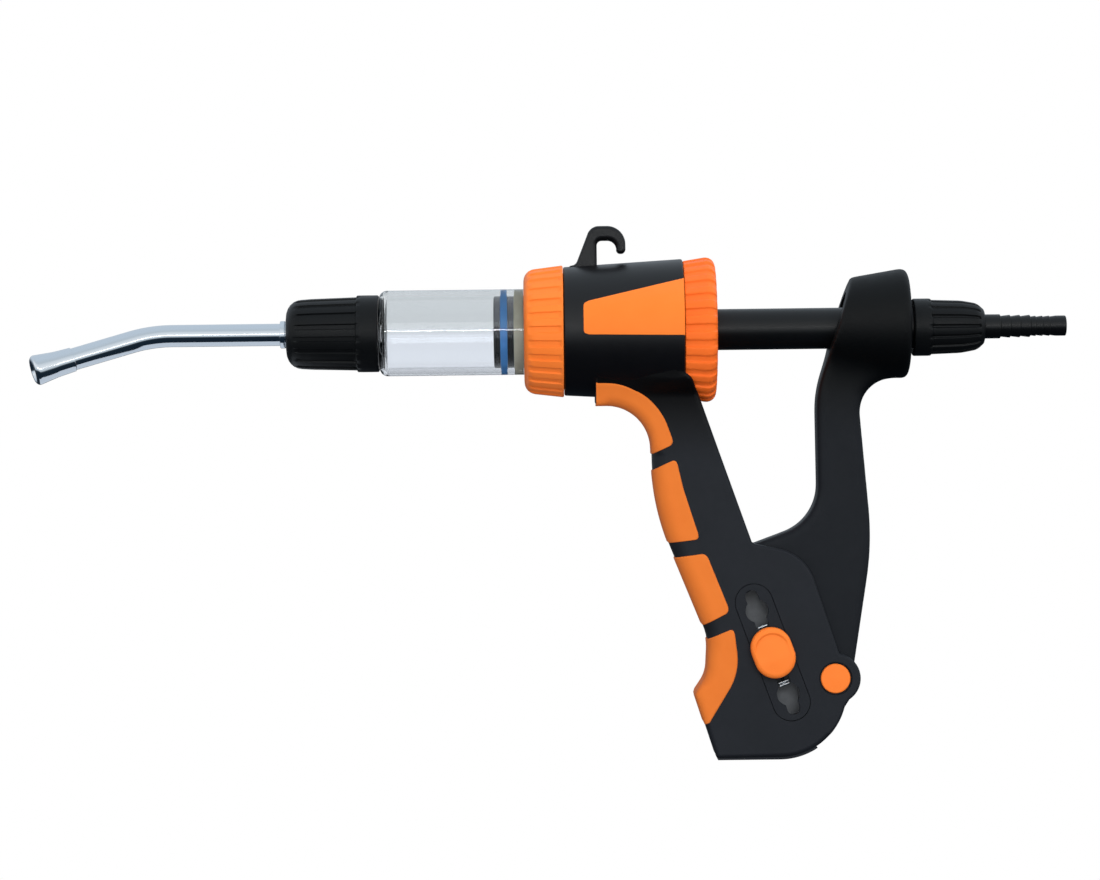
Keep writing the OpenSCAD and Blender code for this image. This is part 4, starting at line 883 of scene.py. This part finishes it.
# Lever: arm and bell grown into one moulding, then hollowed.
leverSet = {  # rows and columns of added points: count, first, pitch
    "half": 8.0, "neck": 3.5, "neckRun": 5.0, "neckX": (98.0, 130.0), "rows": (40, -46.0, 1.1),
    "columns": (18, 96.0, 1.8), "keelX": (114.0, 127.0), "keelZ": (-34.0, -22.0), "keelThin": 0.45, "voxel": 0.7,
    "rounds": 14, "neckRounds": 70, "softX": ((97, 103), (127.5, 123.5)), "softZ": ((-30, -22), (-5, -11)),
    "bellX": (84.0, 130.8), "bellR": (13.55, 21.3), "bellRim": 2.6, "bellZ": 1.5, "faceX": 103.1, "wall": 3.6,
    "hollow": [(84, 0, 0), (84, 11.46, 0), (133, 17.83, 0), (133, 0, 0)], "bushR": 5.58, "rodX": 118.4,
    "rodR": 8.6, "rodReach": 30.6, "rodLift": 1.2, "windowR": 4.7, "windowReach": 25.2, "windowY": (-16, -4.0),
    "rub": {"x": 88, "z": -98, "y": (-8.5, -3.5)},
    "corners": [
        (102.5, -2, 0, 1.5), (95.24, -24.54, 45, 2.6), (95.64, -72.31, 19, 2.6), (65.95, -83.27, 1.96, 0.9),
        (64.84, -92.92, 6.05, 0.8), (65.55, -107.98, 8.2, 0.8), (72.51, -133.0, 9.8, 0.8),
        (76.96, -145.9, 3.9, 0.8), (85.95, -150.5, 4.9, 0.8), (98.0, -142.2, 0, 0.8)]
    + arcPoints(pivotX, pivotZ, 8.5, -80, 30, 0.9)
    + [(115.94, -81.96, 109.6, 2.6), (110.7, -19.15, 13.0, 2.6), (127.0, -19.15, 0, 1.0), (112.0, -4.9, 0, 1.5)]}


def bellFace(setback):  # the bell's front leans with the lever's throw
    def place(t, r, a):
        z = leverSet["bellZ"] + r * cos(a)
        return (max(t, leverSet["faceX"] + setback + z * tan(leverThrow)), r * sin(a), z)
    return place


s = leverSet
arm = slab(refine(roundPath(s["corners"], step=6), 3), -s["half"], s["half"], 4)
bm = bmesh.new()
made = [bm.verts.new(v) for v in arm[0]]
for face in arm[1]:
    bm.faces.new([made[i] for i in face])
for (count, first, pitch), axis in ((s["rows"], (0, 0, 1)), (s["columns"], (1, 0, 0))):  # so the neck can curve
    for k in range(count):
        crossCut(bm, Vector(axis) * (first + pitch * k), axis, 1e-5)
bm.verts.index_update()
armVerts, armFaces = [], [tuple(v.index for v in face.verts) for face in bm.faces]
(bellFront, bellRear), (bellSmall, bellBig) = s["bellX"], s["bellR"]
for x, y, z in [v.co for v in bm.verts]:
    share = (min(max(x, s["neckX"][0]), s["neckX"][1]) - bellFront) / (bellRear - bellFront)
    bellR = bellSmall + (bellBig - bellSmall) * share
    meet = s["bellZ"] - sqrt(bellR ** 2 - (s["half"] + s["neck"]) ** 2)  # height where arm and bell are as wide
    wide = 1 + s["neck"] / s["half"] * exp(min(z - meet, 0) / s["neckRun"])
    thin = ramp(x, *s["keelX"]) * ramp(z, *s["keelZ"])
    armVerts.append((x, y * wide * (1 - s["keelThin"] * thin), z))
bm.free()
bellCorners = [(bellFront, 0, 0), (bellFront, bellSmall, 0), (bellRear, bellBig, s["bellRim"]), (bellRear, 0, 0)]
head = lathe(refine(roundPath(bellCorners, step=8), 2), 96, bellFace(0))
headFaces = [tuple(v + len(armVerts) for v in face) for face in head[1]]
lever = rawPiece("lever", (armVerts + head[0], armFaces + headFaces))
tool = lever.modifiers.new("grow", "REMESH")
tool.mode, tool.voxel_size, tool.adaptivity = "VOXEL", s["voxel"] * mm, 0
settle(lever)
neck = lever.vertex_groups.new(name="neck")
for v in lever.data.vertices:  # more softening where the arm grows out of the bell
    x, y, z = v.co / mm + hookSeat
    weight = prod(ramp(at, *ends) for at, both in ((x, s["softX"]), (z, s["softZ"])) for ends in both)
    if weight > 0:
        neck.add([v.index], weight, "REPLACE")
for name, rounds in (("", s["rounds"]), ("neck", s["neckRounds"])):
    tool = lever.modifiers.new("soften", "SMOOTH")
    tool.factor, tool.iterations, tool.vertex_group = 0.5, rounds, name
settle(lever)
tools = [rawPiece("bellTool", lathe(refine(s["hollow"], 3), 96, bellFace(s["wall"])))]
rodEnd = s["rodX"] - s["rodReach"]
rodWedge = [(s["rodX"], 0), (rodEnd, 0), (rodEnd, s["rodReach"] * tan(leverThrow) + s["rodLift"])]
tools.append(rawPiece("rodSlotTool", slab(plain(rodWedge), -s["rodR"], s["rodR"], 1)))
for turn, lift in ((0.0, 0.0), (leverThrow, s["rodLift"])):  # the rod at both ends of the throw
    def tilted(t, r, a, turn=turn, lift=lift):
        up = r * cos(a)
        return (leverSet["rodX"] - t * cos(turn) + up * sin(turn), r * sin(a),
                lift + t * sin(turn) + up * cos(turn))
    tools.append(drill("rodTool", 0, s["rodReach"], s["rodR"], 64, tilted))
window = [spun(*alongSlot(along * s["windowReach"], over * s["windowR"]), turn) for along, over, turn in (
    (-1, 1, 0), (1, 1, 0), (1, -1, 0), (1, -1, -leverThrow), (-1, -1, -leverThrow))]
tools.append(rawPiece("windowTool", slab(plain(window), *s["windowY"], 1)))
tools.append(drill("pivotTool", -16, 16, s["bushR"], 64, acrossAt(pivotX, pivotZ)))
cutAway(lever, tools)
dress(lever, "leverNylon", "squeeze_lever", ["lever"], 45, False)


def rubbed(spot, way):  # the clip rubs the web grey behind the dose slot
    s = leverSet["rub"]
    return spot.x < s["x"] and spot.z < s["z"] and s["y"][0] < spot.y < s["y"][1] and way.y < -0.7


secondFinish(lever, "scuffedNylon", rubbed)
print("lever made")

# Cross pieces at the pivot and on the rod.
atPivot, atDose = ({"place": acrossAt(*spot), "fine": 2, "around": 72}
                   for spot in ((pivotX, pivotZ), (doseX, doseZ)))
capCorners = [(12.1, 0, 0), (11.75, 5.6, 0.6), (10.4, 5.6, 0.2), (10.4, 2, 0), (7.4, 2, 0.3), (7.4, 0, 0)]
crossSet = {
    "lever_bush": turned("greyAcetal", "squeeze_lever", ring(-8, 8, 4.08, leverSet["bushR"], 0.3, 0.3), **atPivot),
    "pivot_pin": turned("stainlessSteel", "gun_body", ring(-10.4, 10.4, 2, 4, 0.2, 0.3), **atPivot),
    "pivot_cap_left": turned("orangeAbs", "gun_body", [(-t, r, bend) for t, r, bend in capCorners], **atPivot),
    "pivot_cap_right": turned("orangeAbs", "gun_body", capCorners, **atPivot),
    "dose_stem": turned("stainlessSteel", "dose_button", [
        (-13.5, 0, 0), (-13.5, 2, 0.1), (-5.3, 2, 0.4), (-5.3, 0, 0)], **atDose),
}
makeTurned(crossSet)
trunnionSet = {"ring": (114.4, 122.4, 7.8, 10.2, 0.2, 0.5), "pins": ((-17.4, -8.6), (8.6, 17.4)),
               "pinR": 3, "edge": 0.4}
s = trunnionSet
trunnion = rawPiece("trunnion", lathe(roundPath(ring(*s["ring"]), step=15), 96))
pins = []
for low, high in s["pins"]:
    profile = roundPath(ring(low, high, 0, s["pinR"], 0, s["edge"]), step=15)
    pins.append(rawPiece("trunnionPin", lathe(profile, 48, acrossAt(leverSet["rodX"], 0))))
cutAway(trunnion, pins, "UNION")
dress(trunnion, "stainlessSteel", "plunger", ["trunnion"])

# Dose setting: plate with its slot, clip and thumb knob.
plateSet = {"plate": (20.0, 7.0, -12.0, -10.0), "slot": (22.45, 2.45, -14, -8),
            "lobe": (-14, -8, 4.35, 48), "rim": 0.35}  # sizes as slotSlab and drill take them
s = plateSet
plate = slotSlab("dose_plate", *s["plate"])
lobes = [drill("lobeTool", *s["lobe"], acrossAt(*alongSlot(k * dosePitch))) for k in (-1, 0, 1)]
cutAway(plate, lobes + [slotSlab("slotTool", *s["slot"])])
rim = plate.modifiers.new("rim", "BEVEL")
rim.width, rim.segments, rim.limit_method, rim.angle_limit = s["rim"] * mm, 3, "ANGLE", radians(50)
settle(plate)
dress(plate, "satinNylon", "gun_body", ["dose_plate"])

# The span on the next line after the roll height is the reach along the slot of the knob's painted shadow on the
# tongue.
clipSet = {"plate": (6.0, 3.2, -9.5, -8.7, 0.0, 0.2, 2), "tongue": (11.5, 0.6, -9.4, -8.9, 1.2, 0.1),
           "hole": (-12, -6, 2.1, 48), "rollY": -9.45, "shadowSpan": (8.0, 11.45),
           "rolls": ((-10.2, 2.0, 0.5), (12.0, 2.1, 0.5), (13.1, 2.1, 0.45))}  # place, half width, radius
s = clipSet
clip = slotSlab("dose_clip", *s["plate"])
cutAway(clip, [drill("holeTool", *s["hole"], atDose["place"])])
rolls = []
for at, wide, thick in s["rolls"]:  # rolled ridges at its ends, laid across the slot
    def across(t, r, a, at=at):
        x, z = alongSlot(at + r * cos(a), t)
        return (x, clipSet["rollY"] - r * sin(a), z)
    profile = roundPath(ring(-wide, wide, 0, thick, 0, 0.2), step=30)
    rolls.append(rawPiece("rollTool", lathe(profile, 20, across)))
rolls.append(slotSlab("tongueTool", *s["tongue"]))
cutAway(clip, rolls, "UNION")
dress(clip, "polishedSteel", "dose_slider", ["dose_clip"])


def inKnobShadow(spot, way):  # painted shadow of the knob on the narrow tongue behind the rolled ends
    along = (spot.x - doseX) * slotAxis[0] + (spot.z - doseZ) * slotAxis[1]
    return clipSet["shadowSpan"][0] < along < clipSet["shadowSpan"][1]


# the knob's painted shadow darkens the tongue
secondFinish(clip, "knobShadowSteel", inKnobShadow)

knobSet = {"reach": 2.0, "half": 7.8, "back": -13.5, "rise": 3.0, "edge": 1.9, "dishAt": -0.9, "dishR": 6.5,
           "dishDepth": 0.75, "dishFade": (4.0, -6.0), "dishLip": (0.6, 0.9), "crown": 0.5, "crownIn": 8,
           "rings": 60, "least": 0.02}
s = knobSet
outline = stadium(0, 0, (1, 0), s["reach"], 1.0)
verts = []
for k in range(-1, s["rings"] + 1):  # rings shrink from the rim to the middle line
    width = max(s["half"] * (1 - max(k, 0) / s["rings"]), s["least"])
    for p in outline:
        centre = max(-s["reach"], min(s["reach"], p[0]))
        a, b = centre + (p[0] - centre) * width, p[1] * width  # along and across the slot
        inset = s["half"] - width
        fall = s["edge"] - min(inset, s["edge"])
        y = s["rise"] - s["edge"] + sqrt(s["edge"] ** 2 - fall ** 2) + s["crown"] * ramp(inset, 0, s["crownIn"])
        off = hypot(a - s["dishAt"], b)
        within = 1 - smoothStep((off - s["dishR"] + s["dishLip"][0]) / s["dishLip"][1])
        y -= s["dishDepth"] * ramp(a, *s["dishFade"]) * within
        x, z = alongSlot(a, b)
        verts.append((x, s["back"] - (y if k >= 0 else 0), z))
faces = ringFaces(s["rings"] + 2, len(outline))
dress(rawPiece("dose_knob", (verts, faces)), "orangeAbs", "dose_button", ["dose_knob"], 50, False)
print("dose setting made")
